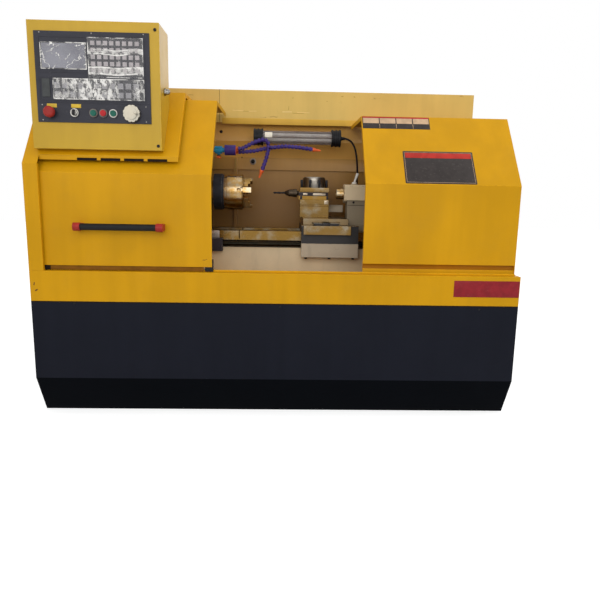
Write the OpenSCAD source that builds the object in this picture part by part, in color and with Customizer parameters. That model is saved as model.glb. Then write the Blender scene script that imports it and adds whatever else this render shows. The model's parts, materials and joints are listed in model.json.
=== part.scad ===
// Flat-bed turning lathe with a folded sheet enclosure, sliding chip door and hanging control box.
// Millimetres. X runs along the spindle, Y from front to back, Z up. The origin is on the floor,
// under the spindle axis and half way along the base.

/* [Base cabinet] */
// Length of the base cabinet along the spindle
base_w = 1940; // [1900:5:2100]
// Depth of the base cabinet
base_d = 880; // [860:5:960]
// Height of the base cabinet
base_h = 477; // [440:1:500]
// Height of the toe kick fold
kick_h = 162; // [120:1:200]
// How far the toe kick runs in at the floor
kick_in = 84; // [40:1:120]
// Thickness of the base cabinet walls
base_wall = 6; // [4:0.5:8]
// Thickness of the base cabinet floor plate
base_plate = 10; // [8:1:16]
// Diameter of the six anchor holes in the floor plate
anchor_d = 18; // [14:1:24]
// Distance of the anchor holes from the ends of the base
anchor_in_x = 110; // [80:1:160]
// Distance of the anchor holes from the toe kick and the back
anchor_in_y = 60; // [45:1:90]

/* [Sheet metal covers] */
// Thickness of the folded sheet
sheet = 3; // [2:0.5:4]
// Width of the returned edges of the covers
return_w = 18; // [12:1:20]
// Lean of the slanted panels from the vertical
slant = 37; // [36:0.5:38]
// Height of the chip tray band
tray_h = 120; // [100:1:130]
// Depth of the folded rim along the top of the tray
tray_rim = 45; // [42:1:46]
// Height of the knee of the fixed headstock cover, over the base
cover_knee_z = 528; // [518:1:538]
// Height of the top of the fixed headstock cover, over the base
cover_top_z = 830; // [823:1:853]
// Right end of the fixed headstock cover, from the left end of the base
cover_end_x = 582; // [570:1:600]
// Width of the front strip left of the door
strip_w = 56; // [45:1:70]
// Height of the fold above the door over the knee
cover_fold_up = 35; // [30:1:40]
// Height of the hanging edge under that fold
cover_drop = 19; // [14:1:24]
// Width of one air slot in the hanging edge
slot_w = 75; // [60:1:80]
// Height of one air slot
slot_h = 9; // [6:1:12]
// Number of air slots
slot_n = 4; // [2:1:5]
// Gap between two air slots
slot_gap = 14; // [10:1:20]
// Centre of the row of air slots, from the left end of the base
slot_mid_x = 369; // [350:1:390]
// Diameter of the bar stock hole in the left end wall
bar_hole_d = 80; // [60:1:100]

/* [Sliding door] */
// How far the door runs behind the front plane
door_in = 20; // [18:1:24]
// Width of the door
door_w = 690; // [670:1:696]
// Gap between the open door and the left end wall
door_end_gap = 15; // [8:1:30]
// Height of the lower edge of the door, over the base
door_low_z = 140; // [133:1:145]
// Height of the knee of the door, over the base
door_knee_z = 498; // [488:1:503]
// Height of the top of the door, over the base
door_top_z = 806; // [798:1:813]
// Gap between the back edge of the door top and the hood
door_back_gap = 20; // [10:1:40]
// Length of the handle between the outer faces of its ends
handle_w = 339; // [280:1:380]
// Height of the handle, over the base
handle_z = 294; // [243:1:343]
// Centre of the handle on the open door, from the left end of the base
handle_mid_x = 358; // [330:1:380]
// Diameter of the grip tube
grip_d = 26; // [20:1:30]
// Distance of the grip axis from the door
grip_out = 42; // [34:1:50]
// Length of one handle end
handle_end = 26; // [20:1:34]
// Height of the door rail over the tray rim
rail_h = 8; // [6:1:10]
// Thickness of the door rail
rail_t = 9; // [6:1:9]
// How far the door rail stands behind the front plane
rail_in = 30; // [28:1:31]

/* [Right cover and back] */
// How far the right cover stands behind the front plane
guard_in = 42; // [41:1:46]
// Height of the stepped foot under the right cover
guard_foot_h = 40; // [34:1:46]
// How far the upper step of that foot stands behind the cover
guard_foot_in = 12; // [10:1:14]
// Left edge of the right cover, from the left end of the base
guard_x0 = 1310; // [1300:1:1330]
// Gap from the right cover to the right end of the base
guard_end_gap = 10; // [4:1:20]
// Height of the knee of the right cover, over the base
guard_knee_z = 477; // [468:1:481]
// Height of the top of the right cover, over the base
guard_top_z = 758; // [748:1:763]
// Distance of the back wall behind the spindle axis
wall_y = 285; // [275:1:295]
// Distance of the hood front behind the spindle axis
hood_y = 190; // [180:1:200]
// Height of the lower edge of the hood, over the base
hood_low_z = 763; // [761:1:773]
// Height of the top of the hood, over the base
hood_top_z = 914; // [883:1:943]
// Gap from the hood to the right end of the base
hood_end_gap = 40; // [20:1:60]
// Depth of the recess under the hood
hood_recess = 36; // [25:1:45]
// Height where the back wall starts to lean, over the base
lean_top_z = 681; // [663:1:693]
// Height where the lean of the back wall ends, over the base
lean_low_z = 606; // [593:1:623]
// Height of the groove fold in the back wall, over the base
groove_z = 546; // [523:1:563]
// Depth of the groove fold
groove_in = 12; // [8:1:20]
// Left edge of the post in front of the back wall, from the left end of the base
post_x = 737; // [725:1:745]
// Width of that post
post_w = 19; // [14:1:26]
// Depth of that post before the groove fold
post_t = 8; // [4:1:14]
// Depth of the flanges behind the back wall
wall_flange = 60; // [40:1:80]
// Left edge of the electrical cabinet, from the left end of the base
cabinet_x0 = 210; // [170:1:270]
// Width of the electrical cabinet
cabinet_w = 900; // [700:1:1000]
// Height of the underside of the electrical cabinet, over the base
cabinet_z = 163; // [133:1:203]
// Height of the electrical cabinet
cabinet_h = 690; // [600:1:700]
// Thickness of the electrical cabinet door
cabinet_door_t = 18; // [14:1:24]

/* [Control box] */
// Left side of the control box, from the left end of the base
box_x0 = 46; // [30:1:60]
// Width of the control box
box_w = 479; // [460:1:490]
// Height of the underside of the control box, over the base
box_z = 583; // [573:1:593]
// Height of the control box
box_h = 454; // [440:1:470]
// Depth of the control box at its top
box_d = 165; // [140:1:190]
// How far the control box front stands behind the front plane
box_in = 8; // [4:1:14]
// Width of the control panel
panel_w = 418; // [400:1:430]
// Height of the control panel
panel_h = 320; // [310:1:330]
// Thickness of the control panel plate
panel_t = 4; // [3:0.5:6]
// Gap from the panel to the right side of the box
panel_right = 36; // [30:1:42]
// Gap from the panel to the top of the box
panel_top = 38; // [30:1:44]
// Height of the push button row, over the lower edge of the panel
button_up = 35; // [31:1:40]
// Diameter of a push button cap
button_d = 22; // [18:0.5:26]
// Travel of a push button
button_travel = 3; // [2:0.5:4]
// Diameter of the emergency stop head
estop_d = 40; // [34:1:42]
// Travel of the emergency stop
estop_travel = 5; // [3:0.5:6]
// Diameter of the pulse wheel
wheel_d = 62; // [54:1:64]

/* [Bed and headstock] */
// Height of the top of the bed ways, over the base
bed_top_z = 268; // [263:1:273]
// Distance of the outer edge of each way from the spindle axis
way_out = 140; // [136:1:144]
// Width of each way
way_w = 62; // [56:1:66]
// Height of each way
way_h = 41; // [36:1:44]
// Height of the recess under the front way
recess_h = 29; // [27:1:30]
// Depth of that recess
recess_in = 26; // [22:1:30]
// Thickness of the bed walls
bed_wall = 34; // [28:1:40]
// Left end of the bed, from the left end of the base
bed_x0 = 124; // [120:1:130]
// Right end of the bed, from the right end of the base
bed_x1 = 230; // [200:1:260]
// Place of the seam of the gap piece, from the left end of the base
gap_x = 796; // [790:1:805]
// Width of the seam
gap_seam = 3; // [2:0.5:4]
// Height of the spindle axis, over the base
spindle_z = 435; // [428:1:443]
// Diameter of the through bore of the spindle
spindle_bore = 40; // [34:1:44]
// Diameter of the spindle in its bearings
spindle_d = 60; // [56:1:64]
// Outer diameter of a spindle bearing
bearing_od = 95; // [90:1:104]
// Width of a spindle bearing
bearing_w = 18; // [16:1:22]
// Running clearance of the spindle in its bearings, on the radius
bearing_fit = 0.03; // [0.02:0.01:0.06]
// Left face of the headstock casting, from the left end of the base
head_x0 = 120; // [110:1:130]
// Right face of the headstock casting, from the left end of the base
head_x1 = 625; // [620:1:630]
// Width of the headstock casting
head_d = 300; // [290:1:320]
// Height of the headstock casting over the spindle axis
head_up = 120; // [110:1:140]

/* [Chuck] */
// Diameter of the chuck
chuck_d = 160; // [154:1:166]
// Front face of the chuck body, from the left end of the base
chuck_x1 = 805; // [802:1:810]
// Length of the chuck body
chuck_w = 86; // [80:1:90]
// Thickness of the chuck back plate
plate_w = 46; // [42:1:46]
// How far the jaws stand out of the chuck face
jaw_out = 38; // [32:1:42]
// Width of a jaw
jaw_w = 24; // [20:1:28]
// Outer end of a jaw at rest
jaw_tip = 72; // [68:1:74]
// Inner end of a jaw at rest
jaw_root = 24; // [22:1:28]
// Travel of a jaw each way
jaw_travel = 5; // [3:0.5:6]
// Turn of the first jaw up from the front
jaw_turn = 8; // [0:1:20]
// Side of the square key sockets
socket_w = 11; // [9:0.5:12]

/* [Drive] */
// Diameter of the spindle pulley
pulley_d = 170; // [150:1:180]
// Diameter of the motor pulley
motor_pulley_d = 113; // [100:1:120]
// Width of both pulleys
pulley_w = 44; // [36:1:46]
// Thickness of the drive belt
belt_t = 8; // [6:0.5:10]
// Height of the motor axis
motor_z = 250; // [230:1:270]
// Distance of the motor axis behind the spindle axis
motor_y = 140; // [120:1:150]
// Diameter of the motor body
motor_d = 210; // [190:1:220]
// Length of the motor body
motor_w = 310; // [280:1:340]

/* [Carriage] */
// Left side of the carriage, from the left end of the base
carriage_x0 = 1067; // [1064:1:1070]
// Width of the carriage
carriage_w = 247; // [240:1:250]
// Clearance between sliding faces
slide_gap = 0.2; // [0.1:0.05:0.4]
// Thickness of the saddle over the ways
saddle_h = 30; // [28:1:31]
// Front of the saddle, before the spindle axis
saddle_front = 200; // [196:1:206]
// Back of the saddle, behind the spindle axis
saddle_back = 160; // [150:1:165]
// Height of the lower edge of the saddle skirt, over the base
skirt_z = 221; // [215:1:225]
// Height of the lower edge of the apron, over the base
apron_z = 161; // [153:1:167]
// Left side of the cross slide, from the left end of the base
cross_x0 = 1075; // [1073:1:1078]
// Width of the cross slide
cross_w = 200; // [190:1:204]
// Thickness of the cross slide plate
cross_h = 15; // [13:1:18]
// Height of the dovetail under the cross slide
tail_h = 12; // [10:1:14]
// Width of the dovetail at its top
tail_w = 120; // [110:1:130]
// Front of the cross slide plate, before the spindle axis
cross_front = 150; // [140:1:156]
// Back of the cross slide plate, behind the spindle axis
cross_back = 126; // [124:1:129]
// Diameter of the long ball screw
z_screw_d = 22; // [20:1:24]
// Diameter of the cross ball screw
x_screw_d = 16; // [14:1:18]
// Clearance of the screws in their nuts and bearings, on the radius
screw_fit = 0.05; // [0.03:0.01:0.1]
// Left end of the long ball screw, from the left end of the base
z_screw_x0 = 670; // [660:1:674]
// Length of a ball screw bearing block
block_w = 55; // [48:1:60]
// Side of the long axis motor
z_motor_w = 110; // [90:1:110]
// Side of the cross axis motor
x_motor_w = 86; // [76:1:90]
// Length of the cross axis motor
x_motor_l = 70; // [60:1:80]

/* [Turret] */
// Side of the turret
turret_w = 134; // [128:1:138]
// Centre of the turret along the spindle, from the left end of the base
turret_x = 1130; // [1126:1:1133]
// Height of the turret base
turret_base_h = 58; // [54:1:60]
// Thickness of the lower plate of the turret
turret_low_h = 22; // [20:1:24]
// Height of a tool slot
slot_tall = 36; // [34:1:38]
// Depth of a tool slot
slot_deep = 19; // [17:1:21]
// Thickness of the upper plate of the turret
turret_up_h = 19; // [17:1:22]
// Diameter of the drum on the turret
drum_d = 104; // [92:1:108]
// Height of the drum on the turret
drum_h = 44; // [40:1:48]
// Across flats of a tool clamp bolt
bolt_w = 10; // [8:0.5:12]
// Height of a tool clamp bolt over the upper plate
bolt_up = 36; // [30:1:40]
// Distance between the two clamp bolts of a slot
bolt_apart = 42; // [38:1:46]
// Diameter of the drill chuck
drill_chuck_d = 36; // [32:1:40]
// Length of the drill chuck
drill_chuck_l = 68; // [62:1:70]
// Diameter of the drill
drill_d = 9; // [6:0.5:12]
// Length of the drill out of its chuck
drill_l = 55; // [45:1:60]

/* [Tailstock] */
// Left face of the tailstock body, from the left end of the base
tail_x0 = 1264; // [1260:1:1268]
// Length of the tailstock body
tail_l = 200; // [180:1:220]
// Diameter of the barrel of the tailstock
barrel_d = 84; // [80:1:88]
// Width of the tailstock base
tail_base_d = 204; // [196:1:208]
// Height of the tailstock base plate
tail_base_h = 34; // [30:1:40]
// Diameter of the quill
quill_d = 50; // [46:1:54]
// How far the quill stands out at rest
quill_out = 34; // [30:1:40]
// Clearance of the quill in the barrel, on the radius
quill_fit = 0.05; // [0.03:0.01:0.08]
// Wide end of the taper bore of the quill
taper_d = 31; // [24:1:32]
// Length of the taper bore of the quill
taper_l = 80; // [70:1:90]
// Diameter of the tailstock handwheel
handwheel_d = 150; // [130:1:170]

/* [Lamp and coolant] */
// Left end of the lamp, from the left end of the base
lamp_x0 = 845; // [835:1:855]
// Length of the lamp with its caps
lamp_w = 408; // [390:1:420]
// Height of the lamp axis, over the base
lamp_z = 691; // [683:1:698]
// Distance of the lamp axis behind the spindle axis
lamp_y = 110; // [100:1:120]
// Outer diameter of the lamp tube
lamp_d = 65; // [60:1:68]
// Wall of the lamp tube
lamp_wall = 3; // [2:0.5:4]
// Length of one lamp cap
cap_w = 44; // [36:1:48]
// Outer diameter of a hose link
link_d = 19; // [16:1:21]
// Length of one hose link
link_pitch = 16; // [14:1:18]
// Height of the coolant pipe, over the base
pipe_z = 622; // [615:1:629]
// Diameter of the coolant pipe
pipe_d = 22; // [18:1:24]

/* [Hidden] */
$fn = 64;

// Overlap of cutters past the faces that they cut
over = 1;
half_w = base_w / 2;
front_y = -base_d / 2;
rear_y = base_d / 2;
lean = tan(slant);

// Heights over the floor
cover_knee_level = base_h + cover_knee_z;
cover_top_level = base_h + cover_top_z;
door_low_level = base_h + door_low_z;
door_knee_level = base_h + door_knee_z;
door_top_level = base_h + door_top_z;
handle_level = base_h + handle_z;
guard_knee_level = base_h + guard_knee_z;
guard_top_level = base_h + guard_top_z;
hood_low_level = base_h + hood_low_z;
hood_top_level = base_h + hood_top_z;
lean_top_level = base_h + lean_top_z;
lean_low_level = base_h + lean_low_z;
groove_level = base_h + groove_z;
cabinet_level = base_h + cabinet_z;
box_level = base_h + box_z;
bed_top_level = base_h + bed_top_z;
spindle_level = base_h + spindle_z;
skirt_level = base_h + skirt_z;
apron_level = base_h + apron_z;
lamp_level = base_h + lamp_z;
pipe_level = base_h + pipe_z;

// Stations along the spindle
cover_end = cover_end_x - half_w;
slot_mid = slot_mid_x - half_w;
handle_mid = handle_mid_x - half_w;
guard_left = guard_x0 - half_w;
post_left = post_x - half_w;
cabinet_left = cabinet_x0 - half_w;
box_left = box_x0 - half_w;
bed_left = bed_x0 - half_w;
gap_end = gap_x - half_w;
head_left = head_x0 - half_w;
head_right = head_x1 - half_w;
chuck_face = chuck_x1 - half_w;
carriage_left = carriage_x0 - half_w;
cross_left = cross_x0 - half_w;
z_screw_left = z_screw_x0 - half_w;
turret_mid = turret_x - half_w;
tail_left = tail_x0 - half_w;
lamp_left = lamp_x0 - half_w;
bed_right = half_w - bed_x1;

// Heights of the tray
tray_top = base_h + tray_h;
tray_floor = base_h + sheet;
rail_top = tray_top + rail_h;
guard_low_z = tray_top + guard_foot_h;

// Folded lines of the covers, seen from the right end as [y, z]
function knee_line(inset, low, knee, top, back) = [
    [front_y + inset, low], [front_y + inset, knee],
    [front_y + inset + (top - knee) * lean, top], [back, top]
];
cover_back_y = hood_y - 1;
door_back_y = hood_y - door_back_gap;
fold_z = cover_knee_level + cover_fold_up;
fold_y = front_y + cover_fold_up * lean;
cover_line = knee_line(0, tray_top, cover_knee_level, cover_top_level, cover_back_y);
panel_line = [[fold_y, fold_z - cover_drop], [fold_y, fold_z], cover_line[2], cover_line[3]];
door_line = knee_line(door_in, door_low_level, door_knee_level, door_top_level, door_back_y);
guard_line = knee_line(guard_in, guard_low_z, guard_knee_level, guard_top_level, hood_y - 1);
guard_foot_y = guard_line[0].x + guard_foot_in;
guard_foot = [
    [guard_foot_y - guard_foot_in / 2, tray_top + 2],
    [guard_foot_y - guard_foot_in / 2, tray_top + guard_foot_h / 2],
    [guard_foot_y, tray_top + guard_foot_h / 2], [guard_foot_y, guard_low_z]
];
recess_y = hood_y + hood_recess;
lean_y = wall_y - groove_in;
wall_line = [
    [wall_y + wall_flange, hood_top_level], [hood_y, hood_top_level], [hood_y, hood_low_level],
    [recess_y, hood_low_level], [recess_y, lean_top_level], [lean_y, lean_low_level], [lean_y, groove_level],
    [wall_y, groove_level], [wall_y, tray_floor]
];

door_x0 = -half_w + sheet + door_end_gap;
door_x1 = door_x0 + door_w;
strip_x = -half_w + strip_w;
// Guides of the door: width, places from its edges, heights and gap to the rail
guide_w = 32;
guide_in = 40;
guide_out = 12;
guide_lift = 2;
guide_up = 30;
guide_wall = 1.4;
rail_gap = 0.3;
guard_x1 = half_w - guard_end_gap;
hood_x1 = half_w - hood_end_gap;
bulkhead_x = head_right;

// Lift-off hinges of the electrical cabinet
cabinet_door_y = rear_y - cabinet_door_t;
hinge_d = 12;
hinge_pin_d = 6;
hinge_h = 40;
hinge_x = cabinet_left - hinge_d / 2 - 0.4;
hinge_zs = [cabinet_level + 60, cabinet_level + cabinet_h - 140];

// Control box
box_y = front_y + box_in;
box_x1 = box_left + box_w;
box_top = box_level + box_h;
panel_x1 = box_x1 - panel_right;
panel_x0 = panel_x1 - panel_w;
panel_z1 = box_top - panel_top;
panel_z0 = panel_z1 - panel_h;
button_level = panel_z0 + button_up;
panel_face_y = box_y - panel_t;
// Height of the strip of push buttons under the control unit
strip_z = panel_z0 + 72;
// Columns of the operating elements, from the left side of the panel
estop_x = panel_x0 + 48;
mode_x = panel_x0 + 136;
start_x = panel_x0 + 206;
stop_x = panel_x0 + 242;
reset_x = panel_x0 + 279;
wheel_x = panel_x0 + 349;
collar_t = 6;
collar_rim = 4;
// Gap round a button, and the neck of the emergency stop
button_gap = 0.4;
estop_neck = 23;

// Spindle train
plate_x1 = chuck_face - chuck_w;
plate_x0 = plate_x1 - plate_w;
nose_d = 108;
head_z1 = spindle_level + head_up;
pulley_x1 = head_left - 14;
pulley_x0 = pulley_x1 - pulley_w;
spindle_x0 = pulley_x0 - 12;
bearing_bore = bearing_od - 14;
belt_gap = 0.4;

// Carriage
carriage_x1 = carriage_left + carriage_w;
saddle_z0 = bed_top_level + slide_gap;
saddle_z1 = saddle_z0 + saddle_h;
guide_z1 = saddle_z1 + tail_h;
cross_z0 = guide_z1 + slide_gap;
cross_z1 = cross_z0 + cross_h;
cross_x1 = cross_left + cross_w;
cross_mid_x = (cross_left + cross_x1) / 2;
x_screw_z = saddle_z0 + saddle_h / 2 + 1;
z_screw_z = bed_top_level - way_h - recess_h / 2;
bed_face_y = -way_out - 10;
z_screw_y = bed_face_y - 9;
z_screw_x1 = bed_right;
// Long axis motor: length, flange, step behind the flange and plug housing; reach of the screw into it
z_motor_l = 130;
motor_flange = 14;
motor_step = 4;
plug_w = 50;
plug_up = 22;
screw_end = 30;
skirt_back_y = -way_out - slide_gap - 1;
channel_w = 34;
// Undercut of the dovetail, the gap beside it, and its half width at a height
tail_under = 10;
tail_gap = 0.6;
function guide_half(z) = tail_w / 2 - tail_under * (guide_z1 - z) / tail_h;

// Turret, placed so that the tool in its front slot lies on the spindle axis
turret_y = turret_w / 2 - slot_deep / 2;
turret_z0 = cross_z1;
head0_z = turret_z0 + turret_base_h + slide_gap;
slot_z0 = head0_z + turret_low_h;
slot_z1 = slot_z0 + slot_tall;
plate_top_z = slot_z1 + turret_up_h;
turret_left = turret_mid - turret_w / 2;
shank_gap = 0.2;
shank_y = turret_y - turret_w / 2 + slot_deep / 2;

// Tailstock, with its foot between the wings of the saddle
tail_x1 = tail_left + tail_l;
foot_x0 = tail_left + 14;
wing_y = tail_base_d / 2 + 3;
bridge_x1 = foot_x0 - 8;
tail_z0 = bed_top_level + slide_gap;
quill_x0 = tail_left - quill_out;
quill_l = quill_out + tail_l - 50;
feed_room = quill_l - taper_l - 12;
feed_d = 22;
handwheel_x0 = tail_x1 + 24;

// Lamp
lamp_x1 = lamp_left + lamp_w;

// Small builders
function unit(v) = v / norm(v);
function side(v) = [-v.y, v.x];
function miter(path, i, t) =
    let (
        last = len(path) - 1,
        a = side(unit(i == 0 ? path[1] - path[0] : path[i] - path[i - 1])),
        b = side(unit(i == last ? path[last] - path[last - 1] : path[i + 1] - path[i]))
    ) path[i] + t * (a + b) / (1 + a * b);
function shifted(path, t) = [for (i = [0 : len(path) - 1]) miter(path, i, t)];
function reversed(path) = [for (i = [len(path) - 1 : -1 : 0]) path[i]];
function folded(path, t) = concat(path, reversed(shifted(path, t)));

module along_x(x0, x1) {
    translate([x0, 0, 0]) rotate([90, 0, 90]) linear_extrude(x1 - x0) children();
}

module along_y(y0, y1) {
    translate([0, y1, 0]) rotate([90, 0, 0]) linear_extrude(y1 - y0) children();
}

module rod_x(x0, x1, d) {
    translate([x0, 0, 0]) rotate([0, 90, 0]) cylinder(d = d, h = x1 - x0);
}

module rod_y(y0, y1, d) {
    translate([0, y0, 0]) rotate([-90, 0, 0]) cylinder(d = d, h = y1 - y0);
}

module block(low, high) {
    translate(low) cube(high - low);
}

// A sheet folded along a line in the y-z plane, between two stations on X
module folded_sheet(path, x0, x1) {
    along_x(x0, x1) polygon(folded(path, -sheet));
}

// The edge of such a sheet turned inwards at one station
module returned_edge(path, x0, x1) {
    along_x(x0, x1) polygon(folded(path, -return_w));
}

// Base, tray and bed

module base_cabinet() {
    outer = [
        [front_y + kick_in, 0], [rear_y, 0], [rear_y, base_h], [front_y, base_h], [front_y, kick_h]
    ];
    inner = [
        [front_y + kick_in + base_wall, base_plate], [rear_y - base_wall, base_plate],
        [rear_y - base_wall, base_h - base_wall], [front_y + base_wall, base_h - base_wall],
        [front_y + base_wall, kick_h + base_wall]
    ];
    color([0.13, 0.14, 0.17]) difference() {
        along_x(-half_w, half_w) polygon(outer);
        along_x(-half_w + base_wall, half_w - base_wall) polygon(inner);
        for (x = [-half_w + anchor_in_x, 0, half_w - anchor_in_x])
            for (y = [front_y + kick_in + anchor_in_y, rear_y - anchor_in_y])
                translate([x, y, -over]) cylinder(d = anchor_d, h = base_plate + 2 * over);
        belt_passage();
    }
}

// The slot that the belt runs through in the deck and the tray floor
module belt_passage() {
    room = pulley_d / 2 + belt_t + 12;
    block(
        [pulley_x0 - 10, -room, base_h - base_wall - over],
        [pulley_x1 + 10, motor_y + room, tray_floor + over]
    );
}

module chip_tray() {
    color([0.78, 0.58, 0.1]) difference() {
        union() {
            block([-half_w, front_y, base_h], [half_w, rear_y, tray_floor]);
            for (y = [front_y, rear_y - sheet])
                block([-half_w, y, base_h], [half_w, y + sheet, tray_top]);
            for (x = [-half_w, half_w - sheet])
                block([x, front_y, base_h], [x + sheet, rear_y, tray_top]);
            block([-half_w, front_y, tray_top - sheet], [half_w, front_y + tray_rim, tray_top]);
        }
        belt_passage();
    }
}

module door_rail() {
    y = front_y + rail_in;
    edge = 2;
    color([0.72, 0.53, 0.1]) along_x(-half_w + sheet, guard_x1 - sheet) polygon([
        [y, tray_top], [y + rail_t, tray_top], [y + rail_t, rail_top - edge],
        [y + rail_t - edge, rail_top], [y + edge, rail_top], [y, rail_top - edge]
    ]);
}

module bed() {
    way_z0 = bed_top_level - way_h;
    recess_z = way_z0 - recess_h;
    front_wall = [
        [bed_face_y, tray_floor], [bed_face_y, recess_z], [bed_face_y + recess_in, recess_z],
        [bed_face_y + recess_in, way_z0], [-way_out, way_z0], [-way_out, bed_top_level],
        [-way_out + way_w, bed_top_level], [-way_out + way_w, way_z0],
        [bed_face_y + bed_wall + recess_in, way_z0 - 20], [bed_face_y + bed_wall + recess_in, tray_floor]
    ];
    back_wall = [for (p = front_wall) [-p.x, p.y]];
    rib_w = 24;
    ribs = 6;
    color([0.7, 0.6, 0.47]) difference() {
        union() {
            along_x(bed_left, bed_right) polygon(front_wall);
            along_x(bed_left, bed_right) polygon(back_wall);
            for (i = [0 : ribs]) {
                x = bed_left + i * (bed_right - bed_left - rib_w) / ribs;
                block([x, bed_face_y + bed_wall, tray_floor], [x + rib_w, -bed_face_y - bed_wall, way_z0]);
            }
        }
        for (s = [-1, 1])
            block(
                [gap_end - gap_seam, s > 0 ? way_out - way_w - over : -way_out - over, way_z0 + 6],
                [gap_end, s > 0 ? way_out + over : -way_out + way_w + over, bed_top_level + over]
            );
    }
}

module headstock_casting() {
    foot_h = 40;
    color([0.68, 0.6, 0.48]) difference() {
        union() {
            block([head_left, -head_d / 2, bed_top_level], [head_right, head_d / 2, bed_top_level + foot_h]);
            along_x(head_left + 20, head_right) polygon([
                [-head_d / 2 + 16, bed_top_level], [head_d / 2 - 16, bed_top_level],
                [head_d / 2 - 16, head_z1 - 40], [head_d / 2 - 56, head_z1],
                [-head_d / 2 + 56, head_z1], [-head_d / 2 + 16, head_z1 - 40]
            ]);
            translate([0, 0, spindle_level]) rod_x(head_left, head_left + 30, bearing_od + 50);
        }
        translate([0, 0, spindle_level]) {
            rod_x(head_left - over, head_right + over, bearing_bore);
            rod_x(head_right - 2 * bearing_w, head_right + over, bearing_od);
            rod_x(head_left - over, head_left + bearing_w, bearing_od);
        }
    }
}

module spindle_bearings() {
    color([0.75, 0.75, 0.77]) translate([0, 0, spindle_level])
        for (x = [head_left, head_right - 2 * bearing_w, head_right - bearing_w])
            difference() {
                rod_x(x, x + bearing_w, bearing_od);
                rod_x(x - over, x + bearing_w + over, spindle_d + 2 * bearing_fit);
                for (face = [x - over, x + bearing_w - 2])
                    difference() {
                        rod_x(face, face + 2 + over, bearing_od - 12);
                        rod_x(face - over, face + 3 + over, spindle_d + 12);
                    }
            }
}

// Sheet metal covers

module headstock_cover() {
    row_w = slot_n * slot_w + (slot_n - 1) * slot_gap;
    drop_z = panel_line[0].y;
    color([0.82, 0.63, 0.12]) difference() {
        union() {
            folded_sheet(cover_line, -half_w, strip_x);
            folded_sheet(panel_line, strip_x - over, cover_end);
            returned_edge([for (i = [1 : 3]) panel_line[i]], cover_end - sheet, cover_end);
            block(
                [strip_x - sheet, front_y, tray_top],
                [strip_x, front_y + door_in - 4, cover_knee_level]
            );
            along_x(-half_w, -half_w + sheet) polygon(concat(cover_line, [[cover_back_y, tray_top]]));
        }
        // Hole for bar stock in line with the spindle
        translate([0, 0, spindle_level]) rod_x(-half_w - over, -half_w + sheet + over, bar_hole_d);
        for (i = [0 : slot_n - 1])
            translate([slot_mid - row_w / 2 + i * (slot_w + slot_gap), fold_y - over, drop_z - over])
                cube([slot_w, sheet + 2 * over, slot_h + over]);
    }
}

module bulkhead() {
    hole_d = chuck_d + 14;
    inset = shifted(guard_line, -sheet - 2);
    color([0.76, 0.57, 0.12]) difference() {
        along_x(bulkhead_x, bulkhead_x + sheet) polygon([
            [inset[0].x, tray_floor + 40], inset[1], inset[2], [hood_y - 4, inset[2].y],
            [hood_y - 4, tray_floor + 40]
        ]);
        translate([0, 0, spindle_level]) rod_x(bulkhead_x - over, bulkhead_x + sheet + over, hole_d);
        // The bulkhead is cut out over the bed
        block(
            [bulkhead_x - over, bed_face_y - 1, tray_floor],
            [bulkhead_x + sheet + over, -bed_face_y + 1, bed_top_level + 1]
        );
    }
}

module right_cover() {
    color([0.82, 0.63, 0.12]) union() {
        folded_sheet(concat(guard_foot, guard_line), guard_left, guard_x1);
        returned_edge(guard_line, guard_left, guard_left + sheet);
        // The end wall stands on the tray rim behind the rail
        along_x(guard_x1 - sheet, guard_x1) polygon(concat(
            [[guard_line[0].x, tray_top]], guard_line, [[hood_y - 1, tray_top]]
        ));
        // Back strip between the end wall and the end of the hood
        block([hood_x1 - sheet, hood_y - 1 - sheet, tray_top], [guard_x1, hood_y - 1, guard_top_level]);
    }
}

module rear_guard() {
    x0 = -half_w + sheet + 1;
    color([0.83, 0.7, 0.42]) union() {
        along_x(x0, hood_x1) polygon(folded(wall_line, sheet));
        for (x = [x0, hood_x1 - sheet])
            block([x, hood_y, tray_floor], [x + sheet, wall_y + wall_flange, hood_top_level]);
        // Post in front of the wall
        block(
            [post_left, lean_y - post_t, bed_top_level - way_h],
            [post_left + post_w, wall_y + over, lean_low_level - 2]
        );
    }
}

module electrical_cabinet() {
    x1 = cabinet_left + cabinet_w;
    y0 = wall_y + sheet;
    y1 = cabinet_door_y - slide_gap;
    wall = 4;
    color([0.8, 0.62, 0.14]) union() {
        difference() {
            block([cabinet_left, y0, cabinet_level], [x1, y1, cabinet_level + cabinet_h]);
            block(
                [cabinet_left + wall, y0 + wall, cabinet_level + wall],
                [x1 - wall, y1 + over, cabinet_level + cabinet_h - wall]
            );
        }
        for (z = hinge_zs) {
            translate([hinge_x, cabinet_door_y, z]) {
                cylinder(d = hinge_d, h = hinge_h);
                cylinder(d = hinge_pin_d, h = 2 * hinge_h);
            }
            block([hinge_x, y1 - 30, z], [cabinet_left + over, y1 - 0.5, z + hinge_h]);
        }
    }
}

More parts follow.
